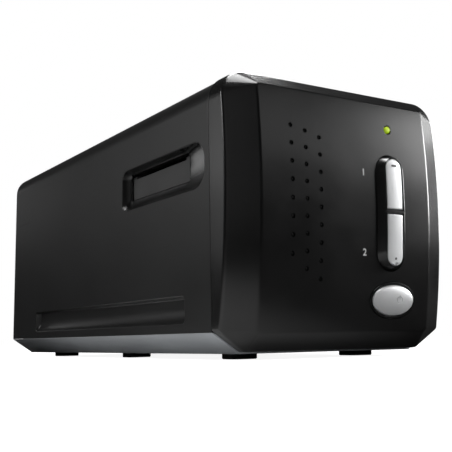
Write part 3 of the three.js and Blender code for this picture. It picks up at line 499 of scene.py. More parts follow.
BEZEL_LOW = 3.2 * MM
BEZEL_WALL = 2.8 * MM
EDGE_Y = FACE_Y + 6.3 * MM
FACE_HALF = 46.5 * MM
FACE_LOW = 10.6 * MM
FACE_TOP = 112.3 * MM
CORNER_STEPS = 10
FACE_CORNER_SHARE = 0.1
LOWER_ROUND = 0.8 * MM
RIDGE_ROUND = 1.3 * MM
RIDGE_STEPS = 5
FACE_ROUND_SHARE = 0.06
FACE_STEPS = 4
BOW_ROWS = 50
ROOM_ROWS = 16


def body_block(name, y, low, top, wall=0):
    """A block with the sloping lower sides and round upper corners of the body, less a wall all round."""
    half = HALF_WIDTH - wall
    piece = block(name, (-half, half), y, (low + wall, top - wall))
    cut_height = low + wall + LOWER_CUT[1]
    with editing(piece):
        slice_at((0, 0, cut_height), (0, 0, 1))
        pick(piece, "verts", lambda place, _: place.z < cut_height - CLOSE)
        scale_about(((half - LOWER_CUT[0]) / half, 1, 1), (0, 0, 0))
    round_edges(piece, CORNER_RADIUS - wall, CORNER_STEPS,
                lambda place, way: runs_back(place, way) and place.z > top - wall - CLOSE, full=True)
    return piece


def draw_in(piece, side, outer_z, inner_z, y, old, new):
    """Draws one corner of the newest ring further in, from one share of its way to the next."""
    share = FACE_CORNER_SHARE
    centre_x = side * (FACE_HALF - HALF_WIDTH * share) / (1 - share)
    centre_z = (inner_z - outer_z * share) / (1 - share)
    reach = CORNER_RADIUS + CLOSE
    factor = (1 - new * (1 - share)) / (1 - old * (1 - share))
    pick(piece, "verts", lambda place, _: place.y < y + CLOSE / 2
         and place.x * side > 0 and abs(place.z - outer_z) < reach)
    scale_about((factor, 1, factor), (centre_x, y, centre_z))


def curve(start, bend, end, steps):
    """Points of a smooth bend after its start."""
    for step in range(1, steps + 1):
        t = step / steps
        yield tuple((1 - t) ** 2 * a + 2 * t * (1 - t) * b + t ** 2 * c
                    for a, b, c in zip(start, bend, end))


def bezel_rings():
    """How far in and where each ring of the front lies: a round ridge, the bevel and a round face edge."""
    deep = FACE_Y - EDGE_Y
    ridge_share = RIDGE_ROUND / (HALF_WIDTH - FACE_HALF)
    ridge_end = (ridge_share, EDGE_Y + ridge_share * deep)
    face_start = (1 - FACE_ROUND_SHARE, FACE_Y - FACE_ROUND_SHARE * deep)
    yield from curve((0, EDGE_Y + RIDGE_ROUND), (0, EDGE_Y), ridge_end, RIDGE_STEPS)
    yield face_start
    yield from curve(face_start, (1, FACE_Y), (1 + FACE_ROUND_SHARE, FACE_Y), FACE_STEPS)


def bezel_form():
    """The outer form of the bezel: bevelled all round, with the front face bowed."""
    piece = body_block("bezel", (EDGE_Y + RIDGE_ROUND, SEAM_Y), BEZEL_LOW, TOP)
    round_edges(piece, LOWER_ROUND, 3, lambda place, way: runs_back(place, way)
                and place.z < BEZEL_LOW + LOWER_CUT[1] + CLOSE)
    with editing(piece):
        pick(piece, "faces", faces_front)
        share, y = 0, EDGE_Y + RIDGE_ROUND
        for new_share, new_y in bezel_rings():
            pull((0, new_y - y, 0))
            for side in SIDES:
                draw_in(piece, side, TOP, FACE_TOP, new_y, share, new_share)
                draw_in(piece, side, BEZEL_LOW, FACE_LOW, new_y, share, new_share)
            pick(piece, "faces", lambda place, normal: faces_front(place, normal)
                 and place.y < new_y + CLOSE / 2)
            share, y = new_share, new_y
    bow_back(piece, (FACE_LOW, FACE_TOP), BOW_ROWS, SEAM_Y - MM)
    return piece


def bezel_hollow():
    """The room inside the bezel, which follows its bow one wall behind."""
    behind = SEAM_Y + OVERRUN
    room = body_block("bezel_room", (EDGE_Y + BEZEL_WALL, behind), BEZEL_LOW, TOP, BEZEL_WALL)
    front = block("bezel_front_room", (-FACE_HALF, FACE_HALF), (FACE_Y + BEZEL_WALL, behind),
                  (FACE_LOW + BEZEL_WALL, FACE_TOP - BEZEL_WALL))
    for piece in (room, front):
        bow_back(piece, (FACE_LOW, FACE_TOP), ROOM_ROWS, SEAM_Y - MM)
    weld(room, front)
    return room


DIMPLE_RADIUS = 1.05 * MM
DIMPLE_DEPTH = 1.3 * MM
DIMPLE_SIDES = 20
DIMPLE_COLUMNS = (  # x, height of the top one, pitch and count
    (*mm(-31, 96.1, 7.67), 8),
    (*mm(-23.6, 94.5, 7.25), 9),
    (*mm(-16.2, 92.3, 7.47), 9),
)


def dimple_cutters():
    """Round-bottomed plugs for the three columns of dimples, as one object."""
    floor_y = FACE_Y + DIMPLE_DEPTH
    first = drum("dimples", "y", DIMPLE_RADIUS, (0, floor_y, 0), -2 * DIMPLE_DEPTH, DIMPLE_SIDES)
    round_edges(first, DIMPLE_RADIUS / 2, 3, lambda place, way: place.y > floor_y - CLOSE)
    plugs = []
    for x, top, pitch, count in DIMPLE_COLUMNS:
        for i in range(count):
            height = top - pitch * i
            plugs.append(copy_of(first, "dimple", (x, bow(height), height)))
    bpy.data.objects.remove(first)
    return join(plugs)


def front_bezel():
    """The bowed front with its dimples and the openings for the controls."""
    piece = bezel_form()
    through = (FACE_Y - OVERRUN, SEAM_Y)
    frame_hole = pill("frame_hole", FRAME_BASE, through, GAP)
    ring_hole = power_oval("ring_hole", RING_HALF, through, GAP)
    light_hole = rod("light_hole", LIGHT_X, LIGHT_HEIGHT, LIGHT_RADIUS + GAP, through)
    cut_with(piece, bezel_hollow(), join([dimple_cutters(), frame_hole, ring_hole, light_hole]))
    hand_over(piece, "housing", "black_gloss", "front_bezel")


# Scan buttons and their frame

SCAN_HEIGHT = 62.6 * MM
SCAN_LENGTH = 22.8 * MM
SCAN_WIDTH = 9.4 * MM
SCAN_OUT = 3.2 * MM
DIVIDER = 1.4 * MM
FRAME_BASE = mm(15.9, 51.6)
FRAME_RIM = mm(10.9, 49.1)
FRAME_BACK = FACE_Y + 6.5 * MM
FLANGE = 1.2 * MM
STEM_RADIUS = 1.6 * MM
STEM_END = -114.6 * MM
BUTTON_CROWN = 0.35 * MM
CROWN_SLICES = (-0.8, -0.5, 0, 0.5, 0.8)
RIM_SOFT = 0.3 * MM
CAP_SOFT = 0.5 * MM
PILL_STEPS = 14
FRAME_ROWS = 24
BUTTON_ROWS = 12


def pill(name, size, y, grow=0):
    """A bar with round ends in the place of the button frame, grown all round."""
    width, length = size[0] + 2 * grow, size[1] + 2 * grow
    return tablet(name, "y", centred(CONTROLS_X, width), y, centred(SCAN_HEIGHT, length),
                  width / 2, PILL_STEPS)


def button_outline(name, side, y, grow=0):
    """One scan button seen from the front: flat at the divider, round at the other end."""
    flat = SCAN_HEIGHT + side * (DIVIDER / 2 + GAP - grow)
    tip = flat + side * (SCAN_LENGTH + 2 * grow)
    return tablet(name, "y", centred(CONTROLS_X, SCAN_WIDTH + 2 * grow), y, sorted((flat, tip)),
                  SCAN_WIDTH / 2 + grow, PILL_STEPS,
                  where=lambda place: (place.z - flat) * side > SCAN_LENGTH / 2)


def button_frame():
    """The tapered black frame, bowed with the face, with a window for each button."""
    piece = pill("button_frame_new", FRAME_BASE, (FACE_Y, FRAME_BACK))
    with editing(piece):
        pick(piece, "faces", faces_front)
        pull((0, -SCAN_OUT, 0))
        scale_about((FRAME_RIM[0] / FRAME_BASE[0], 1, FRAME_RIM[1] / FRAME_BASE[1]),
                    (CONTROLS_X, FACE_Y, SCAN_HEIGHT))
    round_edges(piece, RIM_SOFT, 2, up_to(FACE_Y - SCAN_OUT))
    bow_back(piece, centred(SCAN_HEIGHT, FRAME_BASE[1]), FRAME_ROWS, FACE_Y + MM)
    weld(piece, pill("frame_flange", FRAME_BASE, (FRAME_BACK - FLANGE, FRAME_BACK), FLANGE))
    through = (FACE_Y - 3 * OVERRUN, FRAME_BACK + OVERRUN)
    cut_with(piece, join([button_outline("window", side, through, GAP) for side in SIDES]))
    hand_over(piece, "housing", "black_gloss", "button_frame")


def crown(piece, middle, half, rise):
    """Rounds the front of a button gently across its width."""
    with editing(piece):
        for share in CROWN_SLICES:
            slice_at((middle + share * half, 0, 0), (1, 0, 0))
        set_back(piece, "x", FACE_Y + MM, lambda column: rise * ((column - middle) / half) ** 2)


def stem(x, y, z):
    """The round bar that reaches from a button to its switch."""
    return rod("stem", x, z, STEM_RADIUS, (y, STEM_END), SMALL_SIDES)


def scan_button(side):
    """A crowned silver cap with its flange and stem."""
    row = "upper" if side > 0 else "lower"
    flange_y = FRAME_BACK + GAP
    piece = button_outline(f"{row}_scan_cap", side, (FACE_Y - SCAN_OUT, flange_y + GAP))
    round_edges(piece, CAP_SOFT, 3, up_to(FACE_Y - SCAN_OUT))
    crown(piece, CONTROLS_X, SCAN_WIDTH / 2, BUTTON_CROWN)
    reach = SCAN_LENGTH + DIVIDER
    bow_back(piece, sorted((SCAN_HEIGHT, SCAN_HEIGHT + side * reach)), BUTTON_ROWS, FACE_Y + 2 * MM)
    weld(piece, button_outline("flange", side, (flange_y, flange_y + FLANGE), GAP),
         stem(CONTROLS_X, flange_y, SCAN_HEIGHT + side * reach / 2))
    hand_over(piece, f"{row}_scan", "silver_button", f"{row}_scan_button")


TOUCH_MARKS = (("upper", 83.2 * MM, mm(3, 0.9)), ("lower", 42 * MM, mm(1.1, 1.1)))
TOUCH_OUT = 0.06 * MM
TOUCH_IN = 0.4 * MM


def touch_marks():
    """A short bar near the top of the upper button and a dot near the foot of the lower one."""
    for row, height, size in TOUCH_MARKS:
        front = FACE_Y - SCAN_OUT + bow(height)
        piece = tablet(f"{row}_touch_mark", "y", centred(CONTROLS_X, size[0]),
                       (front - TOUCH_OUT, front + TOUCH_IN), centred(height, size[1]), size[1] / 2, 6)
        hand_over(piece, f"{row}_scan", "dark_plastic")


MARK_SIZE = 4.3 * MM
MARK_BOLD = 0.07 * MM
MARK_RISE = 0.07 * MM
MARK_X = 6.5 * MM
MARK_HEIGHTS = {"1": 78.1 * MM, "2": 43.1 * MM}
MARK_MIDDLE = MARK_SIZE / 3


def number_marks():
    """A plain number printed on the face beside each scan button."""
    for number, height in MARK_HEIGHTS.items():
        bpy.ops.object.text_add()
        letter = bpy.context.object.data
        letter.body = number
        letter.size = MARK_SIZE
        letter.offset = MARK_BOLD
        letter.extrude = MARK_RISE
        bpy.ops.object.convert(target="MESH")
        piece = bpy.context.object
        piece.name = f"number_mark_{number}"
        lean = math.asin((BOW_HEIGHT - height - MARK_MIDDLE) / BOW_RADIUS)
        piece.rotation_euler = (math.pi / 2 + lean, 0, 0)
        piece.location = (MARK_X, FACE_Y + bow(height), height)
        settle(piece)
        hand_over(piece, "housing", "grey_plastic", look="printed_grey")


# Power button and status light

POWER_X = 24.8 * MM
POWER_HEIGHT = 24.1 * MM
POWER_HALF = mm(11.8, 6.6)
RING_HALF = mm(13.1, 7.9)
RING_BACK = FACE_Y + 9.4 * MM
RING_OUT = 0.3 * MM
POWER_SHOULDER = 0.5 * MM
POWER_OUT = 1.9 * MM
RING_SOFT = 0.35 * MM
POWER_ROWS = 10
DOME_STEPS = 7
DOME_TURN = math.radians(84)


def power_oval(name, half, y, grow=0):
    """An oval bar in the power button's place, grown all round."""
    piece = rod(name, POWER_X, POWER_HEIGHT, half[0] + grow, y, OVAL_SIDES)
    with editing(piece):
        pick_all()
        scale_about((1, 1, (half[1] + grow) / (half[0] + grow)), (POWER_X, 0, POWER_HEIGHT))
    return piece


def power_ring():
    """The black ring round the power button, with the flange that holds it in."""
    piece = power_oval("power_ring_new", RING_HALF, (FACE_Y - RING_OUT, RING_BACK))
    cut_with(piece, power_oval("ring_hole", POWER_HALF, (FACE_Y - OVERRUN, RING_BACK + OVERRUN), GAP))
    round_edges(piece, RING_SOFT, 3, up_to(FACE_Y - RING_OUT))
    bow_back(piece, centred(POWER_HEIGHT, 2 * RING_HALF[1]), POWER_ROWS, FACE_Y + MM)
    collar = power_oval("ring_flange", RING_HALF, (RING_BACK - FLANGE, RING_BACK), FLANGE)
    cut_with(collar, power_oval("ring_hole", POWER_HALF, (FACE_Y, RING_BACK + OVERRUN), GAP))
    weld(piece, collar)
    hand_over(piece, "housing", "black_gloss", "power_ring")


SYMBOL_X = POWER_X + 2.6 * MM
SYMBOL_RADIUS = 1.75 * MM
SYMBOL_LINE = 0.4 * MM
SYMBOL_DEPTH = 0.3 * MM
STROKE_REACH = 1.2 * SYMBOL_RADIUS


def standby_symbol():
    """A cutter in the form of the common standby symbol: an open ring with a stroke at its top."""
    y = (FACE_Y - 2 * OVERRUN, FACE_Y - POWER_OUT + bow(POWER_HEIGHT) + SYMBOL_DEPTH)
    through = widened(y, MM)
    ring = rod("symbol", SYMBOL_X, POWER_HEIGHT, SYMBOL_RADIUS, y)
    cut_with(ring, rod("symbol_inside", SYMBOL_X, POWER_HEIGHT, SYMBOL_RADIUS - SYMBOL_LINE, through),
             block("symbol_gap", centred(SYMBOL_X, 3 * SYMBOL_LINE), through,
                   (POWER_HEIGHT, POWER_HEIGHT + 2 * SYMBOL_RADIUS)))
    stroke = block("symbol_stroke", centred(SYMBOL_X, SYMBOL_LINE), y,
                   (POWER_HEIGHT + SYMBOL_LINE / 2, POWER_HEIGHT + STROKE_REACH))
    return join([ring, stroke])


def power_button():
    """A domed oval button with the standby symbol sunk in it."""
    flange_y = RING_BACK + GAP
    centre = (POWER_X, FACE_Y, POWER_HEIGHT)
    piece = power_oval("power_cap", POWER_HALF, (FACE_Y - POWER_SHOULDER, flange_y + GAP))
    with editing(piece):
        pick(piece, "faces", faces_front)
        spread, out = 1, 0
        for step in range(1, DOME_STEPS + 1):
            turn = DOME_TURN * step / DOME_STEPS
            wanted = math.cos(turn)
            rise = (POWER_OUT - POWER_SHOULDER) * math.sin(turn)
            pull((0, out - rise, 0))
            scale_about((wanted / spread, 1, wanted / spread), centre)
            spread, out = wanted, rise
    bow_back(piece, centred(POWER_HEIGHT, 2 * POWER_HALF[1]), POWER_ROWS, FACE_Y + MM)
    weld(piece, power_oval("flange", POWER_HALF, (flange_y, flange_y + FLANGE), GAP),
         stem(POWER_X, flange_y, POWER_HEIGHT))
    cut_with(piece, standby_symbol())
    hand_over(piece, "power", "silver_button", "power_button")


LIGHT_X = 23.8 * MM
LIGHT_HEIGHT = 100.6 * MM
LIGHT_RADIUS = 1.9 * MM
LIGHT_PIPE_RADIUS = 1.55 * MM
LIGHT_BACK = -110.4 * MM
LIGHT_OUT = 0.5 * MM
LIGHT_SOFT = 0.7 * MM


def status_light():
    """A light pipe with a rounded front end."""
    front = FACE_Y + bow(LIGHT_HEIGHT) - LIGHT_OUT
    piece = rod("status_light", LIGHT_X, LIGHT_HEIGHT, LIGHT_PIPE_RADIUS, (front, LIGHT_BACK))
    round_edges(piece, LIGHT_SOFT, 5, up_to(front))
    hand_over(piece, "housing", "light_green", "status_light_pipe")


# Outer cover and base tray

LIP_WALL = BEZEL_WALL + GAP
LIP_INSIDE = LIP_WALL + 1.5 * MM
LIP_LENGTH = 2 * MM
LIP_ROOT = 6 * MM
RIM_ROUND = 0.3 * MM
SHARP_ANGLE = math.radians(60)
COVER_LOW = TRAY_TOP + 0.2 * MM
TRAY_SHOULDER = 0.7 * MM


def empty_out(piece, wall, rim):
    """Opens a solid block at its front and rear, leaves it a wall and rounds its sharp edges."""
    with editing(piece):
        pick(piece, "faces", runs_back)
        bpy.ops.mesh.delete(type="FACE")
        merge_points()
        bpy.ops.mesh.normals_make_consistent(inside=False)
    modify(piece, "SOLIDIFY", thickness=wall, use_even_offset=True)
    with editing(piece):
        bpy.ops.mesh.select_mode(type="EDGE")
        bpy.ops.mesh.edges_select_sharp(sharpness=SHARP_ANGLE)
        bpy.ops.mesh.bevel(offset=rim, segments=2, affect="EDGES", clamp_overlap=True)


def body_tube(name):
    """The whole tube of the body, open at both ends, with the lip that reaches into the bezel."""
    piece = body_block(name, (SHELL_Y, REAR_Y), TRAY_LOW, COVER_TOP)
    empty_out(piece, WALL, RIM_ROUND)
    lip = body_block("lip", (SEAM_Y - LIP_LENGTH, SHELL_Y + GAP), BEZEL_LOW, TOP, LIP_WALL)
    root = (SHELL_Y + RIM_ROUND, SHELL_Y + LIP_ROOT)
    weld(lip, body_block("lip_root", root, TRAY_LOW, COVER_TOP, WALL / 2))
    inside = (SEAM_Y - LIP_LENGTH - OVERRUN, SHELL_Y + LIP_ROOT + OVERRUN)
    cut_with(lip, body_block("lip_inside", inside, BEZEL_LOW, TOP, LIP_INSIDE))
    weld(piece, lip)
    return piece


def keep(piece, height, upper):
    """Cuts a piece level at a height, keeps one part and closes the cut."""
    with editing(piece):
        pick_all()
        bpy.ops.mesh.bisect(plane_co=(0, 0, height), plane_no=(0, 0, 1), use_fill=True,
                            clear_inner=upper, clear_outer=not upper)


SLOT_HEIGHT = 81.4 * MM
SLOT_RISE = 19.8 * MM
SLOT_Y = mm(-110.5, -30.5)
SLOT_DEPTH = 4.5 * MM
SLOT_ROUNDS = mm(8.5, 4)  # at the front and rear
SLOT_DRAWN_IN = mm(19.3, 2, 5, 1.1)  # at the front, rear, foot and top of the floor
SLOT_BACKING = 3.5 * MM
BOSS_MARGIN = 2.3 * MM
DOORWAY_Y = mm(-90.75, -32.95)
DOORWAY_Z = mm(76.8, 90.2)
DOORWAY_CORNER = 0.5 * MM
GRIP_HEIGHT = 21.1 * MM
GRIP_RISE = 11.3 * MM
GRIP_REACH = 92.5 * MM
GRIP_DEPTH = 3 * MM
GRIP_ROUNDS = mm(1.6, 1.6)
GRIP_DRAWN_IN = mm(2.6, 2.6, 6.4, 1.2)
GRIP_MARGIN = 2 * MM
GRIP_BACKING = 1.8 * MM
# each hollow's limits along and up, end rounds, what its floor is drawn in by, and depth
SLOT = (SLOT_Y, centred(SLOT_HEIGHT, SLOT_RISE), SLOT_ROUNDS, SLOT_DRAWN_IN, SLOT_DEPTH)
GRIP = ((-GRIP_REACH, GRIP_REACH), centred(GRIP_HEIGHT, GRIP_RISE), GRIP_ROUNDS, GRIP_DRAWN_IN, GRIP_DEPTH)
HOLLOW_RIM = 0.4 * MM
RIM_STEPS = 3
BOWL_STEPS = 6
END_STEPS = 8


def hollow_stages(drawn_in, depth):
    """Depths of a hollow, with what its outline is drawn in by at its front, rear, foot and top.

    A rounded rim comes first, then a flat slope at the front and a bowl elsewhere.
    """
    stages = []
    for step in range(1, RIM_STEPS + 1):
        turn = math.pi / 2 * step / RIM_STEPS
        stages.append((HOLLOW_RIM * (1 - math.cos(turn)), [HOLLOW_RIM * math.sin(turn)] * 4))
    for step in range(1, BOWL_STEPS + 1):
        turn = math.pi / 2 * step / BOWL_STEPS
        share = (1 - math.cos(turn) + step / BOWL_STEPS) / 2
        deep = HOLLOW_RIM + (depth - HOLLOW_RIM) * math.sin(turn)
        shares = (math.sin(turn), share, share, share)
        stages.append((deep, [HOLLOW_RIM + part * most for part, most in zip(shares, drawn_in)]))
    return stages


def sink(side, outline, drawn_in, depth):
    """Sinks the picked face of a cutter into the wall, stage by stage."""
    (y_low, y_high), (z_low, z_high) = outline
    sunk, old = 0, (y_low, y_high, z_low, z_high)
    for deep, (front, rear, foot, top) in hollow_stages(drawn_in, depth):
        pull((-side * (deep - sunk), 0, 0))
        new = (y_low + front, y_high - rear, z_low + foot, z_high - top)
        factors, centre = [1], [0]
        for low, high in ((0, 1), (2, 3)):
            factor = (new[high] - new[low]) / (old[high] - old[low])
            factors.append(factor)
            centre.append((new[low] - factor * old[low]) / (1 - factor))
        scale_about(factors, centre)
        sunk, old = deep, new


def hollow(side, y, z, rounds, drawn_in, depth):
    """The cutter for a hollow in a side: a plug outside the wall, with its inner face sunk in."""
    x = sorted((side * HALF_WIDTH, side * (HALF_WIDTH + OVERRUN)))
    outline = [widened(span, HOLLOW_RIM) for span in (y, z)]
    piece = block("hollow", x, *outline)
    middle = sum(y) / 2
    across = edges_along("x")
    for radius, end in zip(rounds, SIDES):
        round_edges(piece, radius + HOLLOW_RIM, END_STEPS,
                    lambda place, way: across(place, way) and (place.y - middle) * end > 0, full=True)
    with editing(piece):
        pick(piece, "faces", faces_in(side))
        sink(side, outline, drawn_in, depth)
    return piece


HINGE_X = 53.75 * MM
HINGE_Z = 88.1 * MM
PIN_RADIUS = 0.9 * MM
PIN_LENGTH = 2.4 * MM


def side_bosses(side):
    """The thicker wall behind the slot and behind the grip."""
    slot_inner = HALF_WIDTH - SLOT_DEPTH - SLOT_BACKING
    grip_inner = HALF_WIDTH - GRIP_DEPTH - GRIP_BACKING
    outer = HALF_WIDTH - WALL / 2
    reach = GRIP_REACH + GRIP_MARGIN
    return (
        tablet("slot_boss", "x", sorted((side * outer, side * slot_inner)), widened(SLOT_Y, BOSS_MARGIN),
               centred(SLOT_HEIGHT, SLOT_RISE + 2 * BOSS_MARGIN), BOSS_MARGIN, 4),
        block("grip_boss", sorted((side * outer, side * grip_inner)), (-reach, reach),
              (COVER_LOW, GRIP_HEIGHT + GRIP_RISE / 2 + GRIP_MARGIN)),
    )


def doorway(side):
    """The cutters for the film opening and for the door's hinge pins."""
    slot_floor = HALF_WIDTH - SLOT_DEPTH
    x = sorted((side * (slot_floor + OVERRUN / 4), side * (slot_floor - SLOT_BACKING - OVERRUN)))
    return (
        tablet("film_opening", "x", x, DOORWAY_Y, DOORWAY_Z, DOORWAY_CORNER, 3),
        rod("pin_holes", side * HINGE_X, HINGE_Z, PIN_RADIUS + GAP,
            widened(DOORWAY_Y, PIN_LENGTH + GAP), SMALL_SIDES),
    )


def outer_cover():
    """The black cover with the film slot and the hand grip in each side."""
    piece = body_tube("cover")
    keep(piece, COVER_LOW, upper=True)
    for side in SIDES:
        weld(piece, *side_bosses(side))
        cut_with(piece, hollow(side, *SLOT), hollow(side, *GRIP), *doorway(side))
    hand_over(piece, "housing", "black_shell", "outer_cover")


FLANGE_X = mm(54.8, 53)
FLANGE_Z = mm(8.6, 22)
FOOT_X = 33 * MM
FOOT_ROWS = {"front": -93 * MM, "middle": 8.5 * MM, "rear": 110 * MM}
FOOT_SIZE = 13 * MM
FOOT_TOP = 3 * MM
FOOT_CORNER = 3.5 * MM
FOOT_SOFT = 0.6 * MM
SOLE_RIM = mm(1.4, 0.5)
SOLE_DEPTH = 0.4 * MM
SCREW_X = 40 * MM
SCREW_ROWS = {"front": -79.8 * MM, "rear": 60.2 * MM}
HEAD_RADIUS = 2.9 * MM
HEAD_HEIGHT = 1.2 * MM
SHANK_RADIUS = 1.4 * MM
SHANK_LENGTH = 8 * MM
HEAD_SOFT = 0.5 * MM
DRIVE_RADIUS = 1.2 * MM
DRIVE_DEPTH = 0.7 * MM
DRIVE_SIDES = 6
SCREW_SEAT = 4.1 * MM
SCREW_HEAD_TOP = 3.85 * MM
PANEL_Y = mm(131.7, 134.2)
REAR_SCREW = mm(49, 60)  # to the side and up


def base_tray():
    """The silver tray with its sloping sides, foot seats and sunk screw holes."""
    piece = body_tube("tray")
    keep(piece, TRAY_TOP, upper=False)
    round_edges(piece, TRAY_SHOULDER, 4, lambda place, way: runs_back(place, way)
                and place.z > TRAY_TOP - CLOSE and abs(place.x) > HALF_WIDTH - CLOSE)
    flange_y = (SHELL_Y + LIP_ROOT + GAP, PANEL_Y[0] - GAP)
    seats, shanks = [], []
    for side in SIDES:
        weld(piece, block("flange", sorted(side * x for x in FLANGE_X), flange_y, FLANGE_Z))
        for y in FOOT_ROWS.values():
            size = FOOT_SIZE + 2 * GAP
            seats.append(block("seat", centred(side * FOOT_X, size), centred(y, size), (0, FOOT_TOP + GAP)))
        for y in SCREW_ROWS.values():
            place = (side * SCREW_X, y, 0)
            seats.append(drum("head_seat", "z", HEAD_RADIUS + GAP, place, SCREW_SEAT))
            shanks.append(drum("shank_hole", "z", SHANK_RADIUS + GAP, place, 3 * SCREW_SEAT, SMALL_SIDES))
    cut_with(piece, join(seats), join(shanks))
    hand_over(piece, "housing", "silver_tray", "base_tray")


def feet():
    """Six rubber pads with a rounded edge and a slightly hollow sole."""
    width = centred(0, FOOT_SIZE)
    first = tablet("foot", "z", width, width, (0, FOOT_TOP), FOOT_CORNER, 7)
    round_edges(first, FOOT_SOFT, 3, lambda place, way: place.z < CLOSE)
    with editing(first):
        pick(first, "faces", lambda place, normal: normal.z < -FLAT)
        hollow_out(SOLE_RIM, SOLE_DEPTH)
    for side, name in SIDES.items():
        for row, y in FOOT_ROWS.items():
            pad = copy_of(first, f"{name}_{row}_foot_pad", (side * FOOT_X, y, 0))
            hand_over(pad, "housing", "black_rubber", f"foot_{name}_{row}")
    bpy.data.objects.remove(first)


def screw(name, axis, way):
    """A pan-head screw with its head behind the origin, pointing along an axis."""
    piece = drum(name, axis, HEAD_RADIUS, (0, 0, 0), -way * HEAD_HEIGHT)
    index = "xyz".index(axis)
    round_edges(piece, HEAD_SOFT, 4, lambda place, _: place[index] * way < -HEAD_HEIGHT + CLOSE)
    start = [0, 0, 0]
    start[index] = -way * (HEAD_HEIGHT + MM)
    weld(piece, drum("shank", axis, SHANK_RADIUS, (0, 0, 0), way * SHANK_LENGTH, SMALL_SIDES))
    cut_with(piece, drum("recess", axis, DRIVE_RADIUS, start, way * (DRIVE_DEPTH + MM), DRIVE_SIDES))
    return piece


def screws():
    """Four screws under the tray and two in the rear panel."""
    under = screw("tray_screw", "z", 1)
    behind = screw("panel_screw", "y", -1)
    for side, name in SIDES.items():
        for row, y in SCREW_ROWS.items():
            piece = copy_of(under, f"{name}_{row}_tray_screw", (side * SCREW_X, y, SCREW_HEAD_TOP))
            hand_over(piece, "housing", "steel", f"tray_screw_{name}_{row}")
        place = (side * REAR_SCREW[0], PANEL_Y[1] + GAP, REAR_SCREW[1])
        hand_over(copy_of(behind, f"{name}_panel_screw", place), "housing", "steel", f"rear_screw_{name}")
    for piece in (under, behind):
        bpy.data.objects.remove(piece)


VENT_COUNT = 9
VENT_PITCH = 8 * MM
VENT_SIZE = mm(2.6, 30)
VENT_HEIGHT = 86 * MM
LOCK_SLOT = (mm(-45.5, -38.5), mm(36.5, 39.5))
SOCKET_HOLES = (
    (mm(11.7, 24.3), mm(13.6, 25.1)),
    (mm(-17.3, -7.7), mm(13.6, 25.2)),
)
LOCK_CORNER = 1 * MM
SOCKET_CORNER = 0.5 * MM
PANEL_SOFT = 0.4 * MM


def rear_panel():
    """The rear panel with its vents, lock slot and openings for the sockets."""
    through = widened(PANEL_Y, OVERRUN)
    piece = body_block("panel", PANEL_Y, TRAY_LOW, COVER_TOP, WALL + GAP)
    round_edges(piece, PANEL_SOFT, 2, lambda place, way: place.y > PANEL_Y[1] - CLOSE)
    cutters = [tablet("lock_slot", "y", LOCK_SLOT[0], through, LOCK_SLOT[1], LOCK_CORNER, 4)]
    for i in range(VENT_COUNT):
        x = (i - (VENT_COUNT - 1) / 2) * VENT_PITCH
        cutters.append(tablet("vent", "y", centred(x, VENT_SIZE[0]), through,
                              centred(VENT_HEIGHT, VENT_SIZE[1]), VENT_SIZE[0] / 2, 5))
    cutters += [tablet("socket_hole", "y", x, through, z, SOCKET_CORNER, 3) for x, z in SOCKET_HOLES]
    for side in SIDES:
        cutters.append(rod("screw_hole", side * REAR_SCREW[0], REAR_SCREW[1], SHANK_RADIUS + GAP, through,
                           SMALL_SIDES))
    cut_with(piece, join(cutters))
    hand_over(piece, "housing", "dark_plastic", "rear_panel")


DOOR_Y = mm(-90.35, -33.35)
DOOR_LOW = 77.2 * MM
DOOR_THICK = 1.4 * MM
KNUCKLE_RADIUS = 1.2 * MM
DOOR_GAP = 1.9 * MM
DOOR_GAP_CORNER = 0.6 * MM
DOOR_EAR = 3.5 * MM
DOOR_SOFT = 0.3 * MM
DOOR_RIM = mm(1.2, 0.4)
DOOR_HOLLOW = 0.5 * MM
PIN_EXTRA = 0.1 * MM


def dust_door(side):
    """A thin hinged flap, hollow at its back, with an ear and a pin at each end and a gap between them."""
    name = SIDES[side]
    outer = side * (HINGE_X + KNUCKLE_RADIUS)
    x = sorted((outer, outer - side * DOOR_THICK))
    piece = block(f"{name}_film_door", x, DOOR_Y, (DOOR_LOW, HINGE_Z))
    with editing(piece):
        pick(piece, "faces", faces_in(side))
        hollow_out(DOOR_RIM, DOOR_HOLLOW)
    round_edges(piece, DOOR_SOFT, 3, lambda place, way: abs(place.x - outer) < CLOSE)
    for part, radius, reach, sides in (("knuckle", KNUCKLE_RADIUS, 0, ROUND_SIDES),
                                       ("pin", PIN_RADIUS, PIN_LENGTH + PIN_EXTRA, SMALL_SIDES)):
        weld(piece, rod(part, side * HINGE_X, HINGE_Z, radius, widened(DOOR_Y, reach), sides))
    cut_with(piece, tablet("door_gap", "x", sorted((0, side * HALF_WIDTH)), widened(DOOR_Y, -DOOR_EAR),
                           (HINGE_Z + KNUCKLE_RADIUS - DOOR_GAP, TOP), DOOR_GAP_CORNER, 4))
    hand_over(piece, f"{name}_door", "dark_plastic", f"dust_door_{name}")


# Finishes


def noise(tree, place, scale, detail=2, **more):
    """Soft noise on the object."""
    inputs = {"Vector": place, "Scale": scale, "Detail": detail, **more}
    return node(tree, "TexNoise", inputs).outputs["Fac"]


def effect(name, inputs, outputs):
    """An empty node group, with its inputs and outputs by name."""
    group = bpy.data.node_groups.new(name, "ShaderNodeTree")
    for way, names in (("INPUT", inputs), ("OUTPUT", outputs)):
        for socket in names:
            group.interface.new_socket(name=socket, in_out=way, socket_type="NodeSocketFloat")
    return group, group.nodes.new("NodeGroupInput").outputs, group.nodes.new("NodeGroupOutput").inputs


